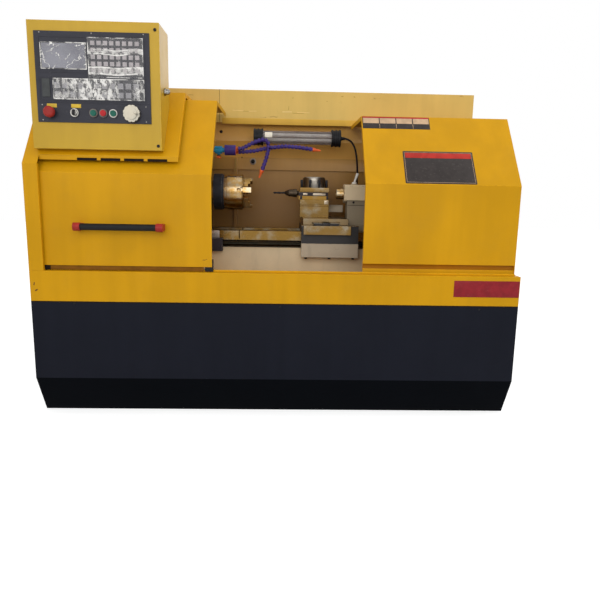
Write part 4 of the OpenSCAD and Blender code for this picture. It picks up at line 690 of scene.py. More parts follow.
def above(axis, level):
    """Picks the second finish past a level along an axis."""
    return lambda middle, normal: middle[axis] > level


def below(axis, level):
    """Picks the second finish short of a level along an axis."""
    return lambda middle, normal: middle[axis] < level


def dress(name, *nodes):
    """CAD nodes keep their shape and take a finish."""
    for node in nodes:
        for held in NODES[node].material_slots:
            held.material = finish(name)


def facing(place, direction):
    """Matrix that puts local +Z along a direction at a place."""
    turn = Vector(direction).to_track_quat("Z", "Y").to_matrix().to_4x4()
    return Matrix.Translation(Vector(place)) @ turn


def on_front(place, tilt=0.0):
    """Matrix of a plate: local X to the right, Z up along the face, -Y out of it."""
    return Matrix.Translation(Vector(place)) @ Matrix.Rotation(-tilt, 4, "X")


def once(items):
    """Each of the items once, in the order in which they come."""
    return list(dict.fromkeys(items))


def whole(verts):
    """All the vertices and faces that hang together with the given vertices."""
    found = once(verts)
    for v in found:
        found += [near for near in once(e.other_vert(v) for e in v.link_edges) if near not in found]
    return found, once(f for v in found for f in v.link_faces)


def settle(bm, verts, place, index):
    """Puts a finished shape in its place and gives it its finish."""
    verts, faces = whole(verts)
    bmesh.ops.recalc_face_normals(bm, faces=faces)
    bmesh.ops.transform(bm, matrix=place, verts=verts)
    for f in faces:
        f.material_index = index


def bevel(bm, edges, offset, segments=2):
    """Rounds edges no further than there is room, and gives the vertices that it makes."""
    return bmesh.ops.bevel(
        bm, geom=edges, offset=offset, segments=segments, profile=0.5, affect="EDGES", material=-1,
        clamp_overlap=True,
    )["verts"]


def add_slab(bm, place, size, corner, soft=0.0003, index=0):
    """A flat plate in bm: size is width, thickness, height. Its back lies at local Y 0."""
    verts = bmesh.ops.create_cube(bm, size=1.0)["verts"]
    bmesh.ops.scale(bm, verts=verts, vec=size)
    bmesh.ops.translate(bm, verts=verts, vec=(0, -size[1] / 2, 0))
    if corner:
        edges = once(e for v in verts for e in v.link_edges)
        across = [e for e in edges if abs((e.verts[0].co - e.verts[1].co).y) > size[1] / 2]
        verts = bevel(bm, across, corner, 5)
    edges = once(e for f in whole(verts)[1] for e in f.edges)
    rim = [e for e in edges if all(v.co.y < -size[1] * 0.9 for v in e.verts)]
    settle(bm, bevel(bm, rim, soft), place, index)


def plates(name, finishes, rows, body="machine"):
    """A piece of plates: place (a point of the front or a matrix), size, corner, soft, finish of each."""
    bm = bmesh.new()
    for place, *shape in rows:
        add_slab(bm, place if isinstance(place, Matrix) else on_front(place), *shape)
    new_piece(name, bm, finishes, body)


def enamel_marks(name, finishes, level, marks, body="machine"):
    """Thin knocks and scrapes on the front: x, z, width, height, turn in degrees and finish of each."""
    plates(name, finishes, [(
        on_front((x, level, z)) @ Matrix.Rotation(math.radians(turn), 4, "Y"),
        (wide, 0.0002, tall), 0.45 * min(wide, tall), 0.0001, index,
    ) for x, z, wide, tall, turn, index in marks], body)


def add_frame(bm, place, outer, inner, proud, index=0):
    """A raised rectangular frame in bm. outer and inner are width and height."""
    made = bmesh.ops.create_grid(bm, x_segments=1, y_segments=1, size=0.5)["verts"]
    bmesh.ops.scale(bm, verts=made, vec=(outer[0], outer[1], 1))
    face = made[0].link_faces[0]
    bmesh.ops.inset_individual(bm, faces=[face], thickness=(outer[0] - inner[0]) / 2, depth=0.0)
    ring = [f for f in once(f for v in made for f in v.link_faces) if f != face]
    bmesh.ops.delete(bm, geom=[face], context="FACES_ONLY")
    grown = bmesh.ops.extrude_face_region(bm, geom=ring)["geom"]
    top = [g for g in grown if isinstance(g, bmesh.types.BMVert)]
    bmesh.ops.translate(bm, verts=top, vec=(0, 0, proud))
    settle(bm, top, place @ Matrix.Rotation(math.radians(90), 4, "X"), index)


def add_turned(bm, place, profile, steps=28, index=0):
    """A turned shape in bm from (radius, height) points, spun round local Z."""
    verts = [bm.verts.new((r, 0.0, h)) for r, h in profile]
    edges = [bm.edges.new(pair) for pair in zip(verts, verts[1:])]
    bmesh.ops.spin(
        bm, geom=verts + edges, cent=(0, 0, 0), axis=(0, 0, 1), angle=2 * math.pi, steps=steps,
        use_merge=True,
    )
    turned, _ = whole(verts)
    bmesh.ops.remove_doubles(bm, verts=turned, dist=1e-6)
    settle(bm, [v for v in turned if v.is_valid], place, index)


# Profiles of screw heads, in shares of their radius and height
SOCKET_HEAD = ((0, 0.35), (0.46, 0.35), (0.5, 0.9), (0.56, 1), (0.86, 1), (0.97, 0.88), (1, 0.7))
PAN_HEAD = ((0, 0.82), (0.18, 0.82), (0.22, 1), (0.5, 0.9), (0.8, 0.6), (0.97, 0.2))
SUNK = -0.0003  # how far a head reaches into its seat


def add_head(bm, place, profile, d, h):
    """Head of a screw in bm."""
    r = d / 2
    outline = [(r * across, h * up) for across, up in profile]
    add_turned(bm, place, [*outline, (r, SUNK), (0, SUNK)], 20)


def heads(name, finishes, profile, rows):
    """A piece of screw heads on the front: place, diameter and height of each."""
    bm = bmesh.new()
    for place, d, h in rows:
        add_head(bm, facing(place, OUT), profile, d, h)
    new_piece(name, bm, finishes)


def add_hex(bm, place, across, h):
    """Hexagon head with rounded edges."""
    corner = across / math.sqrt(3)
    made = bmesh.ops.create_cone(
        bm, cap_ends=True, segments=6, radius1=corner, radius2=corner, depth=h
    )["verts"]
    bmesh.ops.translate(bm, verts=made, vec=(0, 0, h / 2))
    settle(bm, bevel(bm, once(e for v in made for e in v.link_edges), h * 0.12), place, 0)


def add_film(bm, low, high, lift, seed):
    """A creased sheet of film in bm over a field of the panel. low and high are x and z."""
    width, height = high[0] - low[0], high[1] - low[1]
    made = bmesh.ops.create_grid(bm, x_segments=60, y_segments=30, size=0.5)["verts"]
    bmesh.ops.scale(bm, verts=made, vec=(width, height, 1))
    for v in made:
        ridge = 1.0 - abs(noise.noise(Vector((v.co.x * 38, v.co.y * 52, seed)))) * 2.2
        inside = min(1.0, 12 * (0.5 - abs(v.co.x) / width), 12 * (0.5 - abs(v.co.y) / height) + 0.15)
        v.co.z = lift * max(0.0, ridge) * max(0.1, inside)
    bmesh.ops.solidify(bm, geom=once(f for v in made for f in v.link_faces), thickness=0.00012)
    place = Matrix.Translation(((low[0] + high[0]) / 2, FILM_Y, (low[1] + high[1]) / 2))
    bmesh.ops.transform(bm, matrix=place @ Matrix.Rotation(math.radians(90), 4, "X"), verts=bm.verts)
    bmesh.ops.recalc_face_normals(bm, faces=bm.faces)


def smooth_route(points, parts):
    """Points on a smooth line through the given ones, parts to each stretch."""
    route = [Vector(p) for p in points]
    ends = [2 * route[0] - route[1], *route, 2 * route[-1] - route[-2]]
    made = []
    for i in range(1, len(ends) - 2):
        a, b, c, d = ends[i - 1:i + 3]
        bend, twist = 2 * a - 5 * b + 4 * c - d, 3 * b - a - 3 * c + d
        for t in (k / parts for k in range(parts)):
            made.append(0.5 * (2 * b + (c - a) * t + bend * t * t + twist * t ** 3))
    return [*made, route[-1]]


class LATHE_OT_stage(Operator):
    """Camera at the photograph's place, soft lamps, a pale floor and a white surround"""

    bl_idname = "lathe.stage"
    bl_label = "Stage"

    def execute(self, context):
        scene = context.scene
        setting = scene.lathe_stage
        scene.view_settings.view_transform = "Standard"
        self.camera(scene, setting)
        for name, place, aim, size, watts in (
            ("key_lamp", (-0.5, -4.6, 2.3), (0, 0.0, 0.9), (4.8, 2.4), setting.key),
            ("top_lamp", (0.0, -0.6, 4.2), (0, 0, 0.6), (4.0, 3.0), setting.top),
            ("left_lamp", (-4.0, -1.2, 2.2), (0, 0, 0.8), (2.4, 2.4), setting.side),
            ("right_lamp", (4.0, -1.0, 2.6), (-0.4, -0.2, 1.1), (2.4, 2.4), setting.side * 4.5),
            ("back_lamp", (0.4, 4.2, 2.8), (0, 0, 0.7), (3.6, 2.4), setting.side * 1.6),
        ):
            lamp = bpy.data.lights.new(name, "AREA")
            lamp.shape, lamp.size, lamp.size_y, lamp.energy = "RECTANGLE", *size, watts
            holder = bpy.data.objects.new(name, lamp)
            holder.location = place
            holder.rotation_euler = (Vector(aim) - Vector(place)).to_track_quat("-Z", "Y").to_euler()
            scene.collection.objects.link(holder)
        self.surround(scene, setting)
        self.floor(scene)
        return DONE

    def camera(self, scene, setting):
        yaw, pitch, roll = math.radians(1.82), math.radians(10.44), math.radians(-1.03)
        ahead = Vector((
            math.sin(yaw) * math.cos(pitch), math.cos(yaw) * math.cos(pitch), -math.sin(pitch)
        ))
        right = Vector((math.cos(yaw), -math.sin(yaw), 0))
        down = ahead.cross(right)
        turned_right = math.cos(roll) * right + math.sin(roll) * down
        turned_down = -math.sin(roll) * right + math.cos(roll) * down
        data = bpy.data.cameras.new("photo_camera")
        data.lens, data.sensor_width, data.sensor_fit = setting.lens, 36.0, "HORIZONTAL"
        data.clip_start, data.clip_end = 0.05, 100.0
        camera = bpy.data.objects.new("photo_camera", data)
        turn = Matrix((turned_right, -turned_down, -ahead)).transposed().to_4x4()
        camera.matrix_world = Matrix.Translation((0.0164, -2.699, 0.9096)) @ turn
        scene.collection.objects.link(camera)
        scene.camera = camera

    def surround(self, scene, setting):
        world = bpy.data.worlds.new("white_surround")
        sky = NodeTree(world)
        soft, white = (
            sky.node("ShaderNodeBackground", {}, {"Color": tone, "Strength": strength})
            for tone, strength in (((0.98, 0.99, 1.0), setting.ambient), ((1.0, 1.0, 1.0), 1.0))
        )
        sky.node("ShaderNodeOutputWorld", {}, {
            "Surface": sky.node("ShaderNodeMixShader", {}, {0: sky.in_view(), 1: soft, 2: white}),
        })
        scene.world = world

    def floor(self, scene):
        bm = bmesh.new()
        bmesh.ops.create_grid(bm, x_segments=2, y_segments=2, size=14.0)
        mesh = bpy.data.meshes.new("floor")
        bm.to_mesh(mesh)
        bm.free()
        pale = Finish("pale_floor")
        pale.surface(
            base_color=pale.mix(pale.noise(3.0, 4.0), (0.46, 0.46, 0.46), (0.49, 0.49, 0.49)), roughness=0.75
        )
        glow = pale.node("ShaderNodeEmission", {}, {"Color": (1.0, 1.0, 1.0), "Strength": 0.72})
        lit = pale.node("ShaderNodeAddShader", {}, {0: pale.shader, 1: glow})
        shown = pale.node("ShaderNodeMixShader", {}, {0: pale.in_view(), 1: pale.shader, 2: lit})
        pale.feed(pale.output.inputs["Surface"], shown)
        mesh.materials.append(pale.material)
        floor = bpy.data.objects.new("floor", mesh)
        scene.collection.objects.link(floor)


class LATHE_OT_lamp_lead(Operator):
    """Lead of the machine lamp, from its right cap to the back wall"""

    bl_idname = "lathe.lamp_lead"
    bl_label = "Lamp lead"

    def execute(self, context):
        thick = context.scene.lathe_sizes.lead
        route = smooth_route(LEAD_ROUTE, 3)
        line = bpy.data.curves.new("lamp_lead", "CURVE")
        line.dimensions = "3D"
        line.bevel_depth, line.bevel_resolution, line.use_fill_caps = thick / 2, 5, True
        spline = line.splines.new("POLY")
        spline.points.add(len(route) - 1)
        for point, place in zip(spline.points, route):
            point.co = (*place, 1.0)
        spline.use_smooth = True
        line.materials.append(finish("lead_rubber"))
        lead = bpy.data.objects.new("lamp_lead", line)
        context.scene.collection.objects.link(lead)
        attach(lead, "machine")
        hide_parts("lamp_cable")
        reach = sum((b - a).length for a, b in zip(route, route[1:]))
        bm = bmesh.new()
        bore = 0.0048
        for place, out, outline in (
            (LEAD_ROUTE[0], (1, 0, 0), ((0.0105, 0.0), (0.0105, 0.004), (0.0082, 0.006), (0.0062, 0.021))),
            (LEAD_ROUTE[-1], OUT, ((0.0115, 0.0), (0.0115, 0.003), (0.0095, 0.005), (0.0064, 0.014))),
        ):
            closed = [(bore, 0.0), *outline, (bore, outline[-1][1]), (bore, 0.0)]
            add_turned(bm, facing(place, out), closed, 24)
        new_piece("lamp_lead_grommets", bm, "black_plastic")
        return DONE


class LATHE_OT_base(Operator):
    """Base cabinet, chip tray and door rail, with the blank plate and the screws under the belt"""

    bl_idname = "lathe.base"
    bl_label = "Base"

    def execute(self, context):
        round_off("sheet_edge", ["navy_enamel", "kick_enamel"], "base_cabinet", pick=self.kick_finish)
        round_off("sheet_edge", "yellow_enamel", "chip_tray", "door_rail")
        heads("belt_screws", "black_steel", PAN_HEAD, [
            ((x, FRONT_Y, z), 0.010, 0.003) for x, z in ((-0.801, 0.468), (0.009, 0.464), (0.811, 0.463))
        ])
        plates("tray_plate", "red_plate", [
            ((0.8355, FRONT_Y, 0.546), (0.265, 0.0012, 0.066), 0.002),
        ])
        # A dark seal along the joint of the tray and the base, standing also for the shadow line under the
        # tray.
        plates("tray_joint", "dark_felt", [
            ((0.0, FRONT_Y, 0.4748), (1.936, 0.0004, 0.0042), 0.0, 0.0001),
        ])
        enamel_marks("tray_chips", "bare_metal", FRONT_Y, (
            (-0.953, 0.545, 0.004, 0.013, 12, 0), (-0.946, 0.520, 0.012, 0.005, -32, 0),
        ))
        return DONE

    def kick_finish(self, middle, normal):
        """The slanted faces at the foot, which face downwards, are painted darker as shade."""
        return normal.z < -0.1 and middle.z < 0.2


class LATHE_OT_covers(Operator):
    """Headstock cover, bulkhead, right cover and rear guard, with the blank plates and wall fittings"""

    bl_idname = "lathe.covers"
    bl_label = "Covers"

    def execute(self, context):
        round_off("sheet_edge", "yellow_enamel", "headstock_cover", "bulkhead")
        round_off("sheet_edge", ["yellow_enamel", "hem_enamel"], "right_cover", pick=self.hem_finish)
        round_off(
            "sheet_edge", ["hood_enamel", "wall_enamel", "lean_enamel"], "rear_guard", pick=self.guard_finish
        )
        self.label()
        self.strip()
        self.hood_edge()
        self.wall_fittings()
        return DONE

    def hem_finish(self, middle, normal):
        """The groove over the lower hem of the right cover is painted dark brown as shade."""
        return middle.z < 0.640 and middle.y > GUARD_Y + 0.0105 and normal.y < -0.9

    def guard_finish(self, middle, normal):
        """The hood and the back are pale, as a painted sheen of light, the wall under the hood oiled and
        painted darker as shade, and its leaning face painted lighter as a highlight.
        """
        if normal.y > 0.3 or middle.z > HOOD_LOW + 0.0005 or middle.y < HOOD_Y + 0.001:
            return 0
        return 2 if -0.9 < normal.z < -0.3 and 1.07 < middle.z < 1.17 else 1

    def on_slant(self, x, z):
        return on_front((x, GUARD_Y + (z - GUARD_KNEE) * math.tan(SLANT), z), SLANT)

    def label(self):
        bm = bmesh.new()
        high, thick = 0.130 / math.cos(SLANT), 0.0008
        middle = self.on_slant(0.6405, 1.022)
        add_slab(bm, middle, (0.285, thick, high), 0.004)
        face = middle @ Matrix.Translation((0, -thick, 0))
        add_frame(bm, face, (0.274, high - 0.011), (0.271, high - 0.014), 0.0002, 2)
        header = face @ Matrix.Translation((0, 0, high / 2 - 0.0215))
        add_slab(bm, header, (0.268, 0.0003, 0.0265), 0.003, 0.0001, 1)
        new_piece("cover_label", bm, ["dark_plate", "signal_plate", "pale_plate"])

    def strip(self):
        high, thick, step = 0.052 / math.cos(SLANT), 0.0008, 0.0697
        middle = self.on_slant(0.4835, 1.207)

        def mark(x, z, wide, tall, corner, index):
            place = middle @ Matrix.Translation((x, -thick, z))
            return place, (wide, 0.0003, tall), corner, 0.0001, index

        plates("cover_strip", ["dark_plate", "pale_plate", "signal_plate"], [
            (middle, (0.281, thick, high), 0.001),
            *(mark(-0.1045 + i * step, 0.0098, 0.0655, 0.0285, 0.001, 1) for i in range(4)),
            *(mark((i - 1) * step, -0.0185, 0.0016, 0.024, 0.0, 1) for i in range(3)),
            mark(0, high / 2 - 0.0045, 0.279, 0.007, 0.0, 2),
        ])

    def hood_edge(self):
        """Folded strip along the lower edge of the hood, and the seam at its left end."""
        plates("hood_strip", "edge_enamel", [
            ((0.0475, HOOD_Y, HOOD_LOW + 0.0075), (0.655, 0.0013, 0.028), 0.0, 0.0006),
        ])
        plates("hood_seam", "dark_felt", [
            ((-0.293, HOOD_Y, HOOD_LOW + 0.0755), (0.0014, 0.0003, 0.149), 0.0, 0.0001),
        ])
        enamel_marks("hood_marks", ["scrape_light", "scrape_dark"], HOOD_Y, (
            (0.030, 1.2945, 0.046, 0.0036, -1, 0), (0.108, 1.2928, 0.060, 0.0020, 1, 0),
            (-0.204, 1.2965, 0.052, 0.0020, 2, 0), (-0.136, 1.2945, 0.040, 0.0018, -2, 0),
            (0.084, 1.2888, 0.056, 0.0020, 1, 1), (-0.168, 1.2932, 0.030, 0.0016, 3, 1),
            (0.0375, 1.3125, 0.0022, 0.019, 4, 1), (0.057, 1.359, 0.008, 0.0026, -20, 1),
            (0.221, 1.3465, 0.006, 0.0028, 15, 1), (0.294, 1.371, 0.010, 0.0034, -8, 1),
            (0.352, 1.370, 0.008, 0.0040, 25, 1),
        ))

    def wall_fittings(self):
        """Screws, strip and knob on the back wall, and a dark felt behind the headstock cover's air slots,
        painted as the shade behind them.
        """
        heads("wall_screws", "black_steel", PAN_HEAD, [
            ((-0.290, 0.226, 1.200), 0.015, 0.005), ((-0.192, WALL_Y, 1.082), 0.007, 0.003),
        ])
        plates("wall_strip", "strip_enamel", [
            ((-0.2238, 0.265, 1.0475), (0.010, 0.0015, 0.069), 0.0, 0.0004),
        ])
        bm = bmesh.new()
        knob = facing((-0.137, WALL_Y, 1.064), OUT)
        add_turned(bm, knob, [
            (0, 0.016), (0.007, 0.016), (0.0095, 0.014), (0.0105, 0.006), (0.0105, 0.004),
        ])
        add_turned(bm, knob, [
            (0.0105, 0.004), (0.0150, 0.003), (0.0160, 0.001), (0.0160, -0.0002), (0, -0.0002),
        ], index=1)
        new_piece("wall_knob", bm, ["black_plastic", "zinc"])
        plates("slot_felt", "dark_felt", [
            ((-0.601, -0.4076, 1.0268), (0.350, 0.003, 0.0125), 0.0),
        ])


class LATHE_OT_door(Operator):
    """Sliding door with its guides, handle and brush"""

    bl_idname = "lathe.door"
    bl_label = "Door"

    def execute(self, context):
        round_off("sheet_edge", "yellow_enamel", "sliding_door")
        # The left guide is painted dark as the shade in the gap under the door.
        round_off(
            "turned_edge", ["black_plastic", "dark_felt"], "door_guides", pick=below(X, -0.6), join=False
        )
        round_off(0.002, "grip_plastic", "handle_grip")
        round_off(0.0016, "red_plastic", "handle_ends")
        # The brush's brown stands in for the shade in the gap under the door: painted shade.
        plates("door_brush", "brush_brown", [
            ((-0.595, -0.4120, 0.6095), (0.600, 0.004, 0.020), 0.0),
        ], "door")
        enamel_marks("door_scuff", "bare_metal", DOOR_Y, (
            (-0.293, 0.645, 0.011, 0.0022, 0, 0), (-0.284, 0.648, 0.005, 0.0022, 0, 0),
        ), "door")
        return DONE


class LATHE_OT_cabinet(Operator):
    """Electrical cabinet and its door on the back"""

    bl_idname = "lathe.cabinet"
    bl_label = "Electrical cabinet"

    def execute(self, context):
        round_off(0.0006, "yellow_enamel", "electrical_cabinet", join=False)
        round_off("sheet_edge", "yellow_enamel", "cabinet_door")
        return DONE


class LATHE_OT_control_box(Operator):
    """Control box with its panel, screen, key fields, clear film, tags and screws"""

    bl_idname = "lathe.control_box"
    bl_label = "Control box"

    def execute(self, context):
        round_off(0.0018, "box_enamel", "control_box")
        round_off(
            0.0005, ["panel_foil", "key_plastic", "low_key_plastic", "port_plastic"], "control_panel",
            pick=self.key_finish,
        )
        round_off(0.0005, "screen_glass", "display_screen")
        self.frames()
        for name, (low, high, seed) in FILM_FIELDS.items():
            bm = bmesh.new()
            add_film(bm, low, high, context.scene.lathe_sizes.film_lift, seed)
            new_piece("panel_" + name, bm, name, sharp=70.0)
        self.tags_and_screws()
        return DONE

    def key_finish(self, middle, normal):
        """The foil, the upper keys, the lower keys, and the port at their left."""
        if middle.y > PANEL_Y - 0.0003:
            return 0
        if middle.z > 1.318:
            return 1
        return 3 if middle.x < -0.845 else 2

    def frames(self):
        bm = bmesh.new()
        for low, high, rim in (
            ((-0.887, 1.333), (-0.7045, 1.462), 0.010),
            ((-0.7025, 1.3155), (-0.498, 1.462), 0.0045),
            ((-0.887, 1.2325), (-0.498, 1.3145), 0.004),
        ):
            wide, tall = high[0] - low[0], high[1] - low[1]
            place = on_front(((low[0] + high[0]) / 2, PANEL_Y, (low[1] + high[1]) / 2))
            add_frame(bm, place, (wide, tall), (wide - 2 * rim, tall - 2 * rim), 0.0012)
        add_slab(bm, on_front((-0.690, PANEL_Y, 1.2265)), (0.414, 0.0008, 0.0022), 0.0, 0.0002)
        new_piece("panel_frames", bm, "frame_foil")

    def tags_and_screws(self):
        plates("button_tags", "tag_plastic", [
            ((x, PANEL_Y, 1.2155), (0.036, 0.0008, 0.0135), 0.001, 0.0002) for x in (-0.846, -0.757)
        ])
        heads("panel_screws", "chrome", PAN_HEAD, [
            ((x, PANEL_Y, z), 0.0055, 0.0016) for x, z in (
                (-0.878, 1.4705), (-0.690, 1.4705), (-0.502, 1.4705), (-0.881, 1.2175), (-0.4995, 1.2175),
                (-0.881, 1.1635), (-0.4995, 1.1635),
            )
        ])
        heads("box_screws", "black_steel", SOCKET_HEAD, [
            ((x, BOX_Y, z), 0.0115, 0.003) for x, z in ((-0.460, 1.489), (-0.458, 1.077))
        ])
        bm = bmesh.new()
        gland, nut = facing((-0.445, -0.362, 1.284), (1, 0, 0)), 0.008
        add_hex(bm, gland, 0.024, nut)
        add_turned(bm, gland @ Matrix.Translation((0, 0, nut)), [
            (0, 0.014), (0.005, 0.014), (0.0085, 0.012), (0.0105, 0.007), (0.0105, -0.0002), (0, -0.0002),
        ])
        new_piece("box_gland", bm, "chrome")


class LATHE_OT_buttons(Operator):
    """Emergency stop, push buttons, mode switch and pulse wheel"""

    bl_idname = "lathe.buttons"
    bl_label = "Buttons"

    def execute(self, context):
        round_off(0.0006, ["dark_chrome", "chrome"], "button_collars", pick=self.collar_finish)
        round_off(0.0025, "red_plastic", "emergency_stop", segments=3)
        for button in ("start", "stop", "reset"):
            round_off(0.0012, "stop_plastic" if button == "stop" else "green_plastic", button + "_button")
        round_off(0.0006, ["chrome", "black_plastic"], "mode_switch", pick=below(Y, -0.4463), join=False)
        round_off("turned_edge", "wheel_chrome", "pulse_wheel")
        return DONE

    def collar_finish(self, middle, normal):
        """The collars of the mode switch and the reset button are bright, the others dark."""
        return middle.x > -0.640 or abs(middle.x + 0.763) < 0.018


class LATHE_OT_bed(Operator):
    """Bed with its ground ways, headstock casting, long screw, its blocks and its motor"""

    bl_idname = "lathe.bed"
    bl_label = "Bed"

    def execute(self, context):
        round_off("machined_edge", ["beige_cast", "way_steel", "recess_paint"], "bed", pick=self.bed_finish)
        round_off("cast_edge", "beige_cast", "headstock_casting")
        # The screw blocks in the recess take the same dark paint: painted shade.
        round_off("machined_edge", "recess_paint", "screw_blocks")
        round_off("machined_edge", "black_plastic", "z_motor")
        round_off("turned_edge", "long_screw", "z_screw")
        plates("way_plate", "zinc", [
            ((-0.281, -0.140, 0.7245), (0.038, 0.0015, 0.0405), 0.001),
        ])
        return DONE

    def bed_finish(self, middle, normal):
        """The ways are ground, the recess under them is painted dark as shade, and the rest is painted."""
        if middle.z > 0.7042:
            return 1
        return 2 if middle.z > 0.6745 and abs(middle.y) > 0.100 and abs(normal.x) < 0.5 else 0


class LATHE_OT_spindle(Operator):
    """Spindle, its bearings and drive, and the scroll chuck with its jaws"""

    bl_idname = "lathe.spindle"
    bl_label = "Spindle and chuck"

    def execute(self, context):
        round_off("turned_edge", "turned_steel", "spindle")
        dress("turned_steel", "spindle_bearings")
        dress("black_steel", "spindle_pulley", "motor_pulley")
        dress("belt_rubber", "drive_belt")
        round_off("machined_edge", "slate_paint", "main_motor")
        round_off("machined_edge", "plate_black", "chuck_plate")
        round_off("machined_edge", "chuck_steel", "chuck_body")
        round_off(0.0009, "chuck_steel", "chuck_jaw_1", "chuck_jaw_2", "chuck_jaw_3")
        return DONE


class LATHE_OT_carriage(Operator):
    """Saddle with its apron, cross slide, cross screw, bearing plate and motor"""

    bl_idname = "lathe.carriage"
    bl_label = "Carriage"

    def execute(self, context):
        round_off("machined_edge", ["slate_paint", "cross_steel"], "saddle", pick=self.saddle_finish)
        round_off(0.0016, "ivory_paint", "apron")
        round_off("machined_edge", "cross_steel", "cross_bearing")
        round_off("machined_edge", "black_plastic", "x_motor")
        round_off("turned_edge", "long_screw", "x_screw")
        round_off("machined_edge", "slide_steel", "cross_slide")
        plates("saddle_plug", "slate_paint", [
            ((0.205, -0.1960, 0.7785), (0.033, 0.0035, 0.017), 0.001),
        ], "carriage")
        bm = bmesh.new()
        for x in (0.117, 0.2205, 0.324):
            add_head(bm, facing((x, -0.188, 0.638), (0, 0, -1)), SOCKET_HEAD, 0.013, 0.008)
        new_piece("apron_bolts", bm, "black_steel", "carriage")
        return DONE

    def saddle_finish(self, middle, normal):
        """The top of the saddle is ground."""
        return middle.z > 0.7505 and normal.z > 0.3


class LATHE_OT_turret(Operator):
    """Turret with its clamp bolts, the drill chuck and a twist drill"""

    bl_idname = "lathe.turret"
    bl_label = "Turret"

    def execute(self, context):
        round_off("machined_edge", ["post_steel", "ivory_paint"], "turret_base", pick=above(X, 0.2271))
        round_off(0.0010, ["post_steel", "hub_steel"], "turret_head", pick=above(Z, 0.9435))
        round_off(0.0006, "black_steel", "clamp_bolts", join=False)
        round_off(0.0006, ["gun_steel", "shank_steel"], "drill_chuck", pick=above(X, 0.0868))
        self.tool_pads()
        self.drill(context.scene.lathe_sizes.drill_twist)
        return DONE

    def tool_pads(self):
        """Pads on the shank: dark strips painted as the shade in the tool slot, bright pads painted as
        highlights, and a wiped corner under it.
        """
        plates("tool_pads", ["recess_paint", "pad_steel"], [
            ((x, SHANK_Y, z), (wide, proud, tall), 0.0006, 0.0001, index)
            for x, z, wide, tall, proud, index in (
                (0.1550, 0.9085, 0.135, 0.0170, 0.0002, 0), (0.0985, 0.8920, 0.010, 0.0155, 0.0002, 0),
                (0.2185, 0.8920, 0.008, 0.0155, 0.0002, 0), (0.1175, 0.9080, 0.019, 0.0085, 0.0006, 1),
                (0.1815, 0.9075, 0.058, 0.0090, 0.0006, 1), (0.2150, 0.8718, 0.019, 0.0165, 0.0004, 1),
            )
        ], "turret")

    def drill(self, twist):
        """Two flutes sunk in a round, twisted along the drill, and a point."""
        low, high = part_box("drill")
        radius, tip, steps = (high.z - low.z) / 2, 0.004, 60
        bm = bmesh.new()
        ring = bmesh.ops.create_circle(bm, segments=24, radius=radius * 0.995)["verts"]
        for v in ring:
            turn = math.atan2(v.co.y, v.co.x) % math.pi
            share = 1 - 0.62 * max(0.0, 1.0 - abs(turn - math.pi / 2) / (math.pi * 0.30))
            bmesh.ops.scale(bm, verts=[v], vec=(share, share, 1))
        bmesh.ops.rotate(
            bm, verts=ring, cent=(0, 0, 0), matrix=Matrix.Rotation(math.radians(90), 3, "Y")
        )
        middle = Vector((low.x + tip, 0.0, SPINDLE_Z))
        bmesh.ops.translate(bm, verts=ring, vec=middle)
        rim = once(e for v in ring for e in v.link_edges)
        far = bmesh.ops.spin(
            bm, geom=ring + rim, cent=middle, axis=(1, 0, 0), dvec=((high.x - low.x - tip) / steps, 0, 0),
            angle=twist, steps=steps, use_merge=False,
        )["geom_last"]
        bmesh.ops.contextual_create(bm, geom=[e for e in far if isinstance(e, bmesh.types.BMEdge)])
        point = bmesh.ops.extrude_edge_only(bm, edges=rim)["geom"]
        ends = [v for v in point if isinstance(v, bmesh.types.BMVert)]
        bmesh.ops.translate(bm, verts=ends, vec=(-tip, 0, 0))
        bmesh.ops.pointmerge(bm, verts=ends, merge_co=(low.x, 0.0, SPINDLE_Z))
        bmesh.ops.recalc_face_normals(bm, faces=bm.faces)
        drill = new_piece("twist_drill", bm, "black_steel", BODY_OF["drill"], 35.0)
        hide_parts("drill")


class LATHE_OT_tailstock(Operator):
    """Tailstock with its quill, handwheel and clamp lever"""

    bl_idname = "lathe.tailstock"
    bl_label = "Tailstock"

    def execute(self, context):
        # The lower part takes the darker copy of the paint: painted shade.
        round_off(
            "cast_edge", ["tail_cast", "tail_low_cast"], "tailstock_body", pick=below(Z, 0.880), join=False
        )
        round_off("turned_edge", "chuck_steel", "quill")
        round_off(0.001, "chrome", "handwheel")
        round_off(0.0008, "cap_white", "quill_lever")
        bm = bmesh.new()
        joint = on_front((0.390, -0.0392, 0.8615), math.radians(7.5))
        add_slab(bm, joint, (0.160, 0.0004, 0.0020), 0.0, 0.0001)
        add_head(bm, facing((0.337, -0.0372, 0.8743), (0, -0.99, 0.13)), SOCKET_HEAD, 0.010, 0.003)
        new_piece("tailstock_joint", bm, "black_steel", "tailstock")
        return DONE


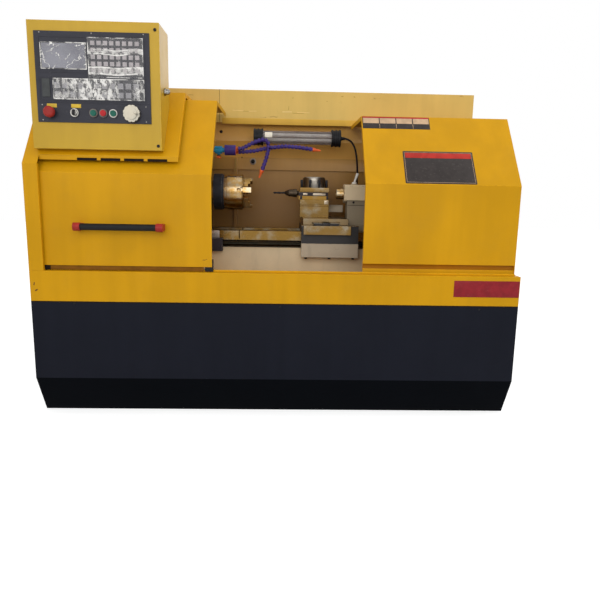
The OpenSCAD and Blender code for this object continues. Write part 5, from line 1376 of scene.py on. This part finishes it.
class LATHE_OT_lamp(Operator):
    """Tube lamp under the hood, with the two lamps inside it and its ringed caps"""

    bl_idname = "lathe.lamp"
    bl_label = "Lamp"

    def execute(self, context):
        round_off(0.0005, "lamp_glass", "lamp_tube")
        round_off("machined_edge", "black_plastic", "lamp_caps")
        low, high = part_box("lamp_tube")
        middle = Vector((0, (low.y + high.y) / 2, (low.z + high.z) / 2))
        for name, material, left, right, radius, first, turn in (
            ("lamp_reflector", "lamp_grey", low.x + 0.002, high.x - 0.002, 0.0277, 0, -180),
            ("lamp_label", "label_cream", -0.072, -0.038, 0.0327, 52, 44),
        ):
            bm = bmesh.new()
            rim = [bm.verts.new((x, middle.y, middle.z + radius)) for x in (left, right)]
            edge = bm.edges.new(rim)
            bmesh.ops.rotate(
                bm, verts=rim, cent=middle, matrix=Matrix.Rotation(math.radians(first), 3, "X")
            )
            bmesh.ops.spin(
                bm, geom=[*rim, edge], cent=middle, axis=(1, 0, 0), angle=math.radians(turn), steps=24,
                use_merge=False,
            )
            bmesh.ops.solidify(bm, geom=list(bm.faces), thickness=0.0004)
            bmesh.ops.recalc_face_normals(bm, faces=bm.faces)
            new_piece(name, bm, material)
        bm = bmesh.new()
        long = high.x - low.x
        for lift in (0.011, -0.011):
            add_turned(bm, facing(middle + Vector((low.x + 0.004, 0, lift)), (1, 0, 0)), [
                (0, 0.0), (0.0068, 0.0), (0.0068, 0.012), (0.0078, 0.013), (0.0078, long - 0.021),
                (0.0068, long - 0.020), (0.0068, long - 0.008), (0, long - 0.008),
            ], 24)
        new_piece("lamp_rods", bm, "lamp_white")
        return DONE


class LATHE_OT_coolant(Operator):
    """Coolant pipe, tap and the two link hoses with their nozzles"""

    bl_idname = "lathe.coolant"
    bl_label = "Coolant"

    def execute(self, context):
        round_off(
            0.0008, ["blue_plastic", "purple_plastic", "orange_plastic"], "coolant_valve",
            pick=self.pipe_finish,
        )
        round_off(0.0010, "orange_plastic", "valve_lever")
        round_off(0.0008, ["purple_plastic", "orange_plastic"], "coolant_hoses", pick=self.hose_finish)
        return DONE

    def pipe_finish(self, middle, normal):
        """The pipe, its sleeve and the ends of the hoses, from left to right."""
        return (middle.x >= -0.2525) + (middle.x >= -0.2035)

    def hose_finish(self, middle, normal):
        """The nozzles at the far ends of the two hoses."""
        return middle.x > 0.149 or (middle.z < 1.0125 and middle.x < 0.0)


class LATHE_PT_sidebar(Panel):
    """Settings and steps of the lathe"""

    bl_idname = "LATHE_PT_sidebar"
    bl_label = "Turning lathe"
    bl_space_type = "VIEW_3D"
    bl_region_type = "UI"
    bl_category = "Lathe"

    def draw(self, context):
        for held in GROUPS:
            group = getattr(context.scene, held)
            box = self.layout.box()
            for name in group.__annotations__:
                box.prop(group, name)
        for step in STEPS:
            self.layout.operator(step.bl_idname)


GROUPS = {"lathe_colours": LatheColours, "lathe_sizes": LatheSizes, "lathe_stage": LatheStage}
STEPS = (
    LATHE_OT_stage, LATHE_OT_lamp_lead, LATHE_OT_base, LATHE_OT_covers, LATHE_OT_door, LATHE_OT_cabinet,
    LATHE_OT_control_box, LATHE_OT_buttons, LATHE_OT_bed, LATHE_OT_spindle, LATHE_OT_carriage,
    LATHE_OT_turret, LATHE_OT_tailstock, LATHE_OT_lamp, LATHE_OT_coolant,
)
CLASSES = (*GROUPS.values(), *STEPS, LATHE_PT_sidebar)


def register():
    for kind in CLASSES:
        bpy.utils.register_class(kind)
    for name, group in GROUPS.items():
        setattr(bpy.types.Scene, name, PointerProperty(type=group))


def unregister():
    for name in GROUPS:
        delattr(bpy.types.Scene, name)
    for kind in reversed(CLASSES):
        bpy.utils.unregister_class(kind)


def main():
    register()
    for step in STEPS:
        group, name = step.bl_idname.split(".")
        getattr(getattr(bpy.ops, group), name)()


if __name__ == "__main__":
    main()
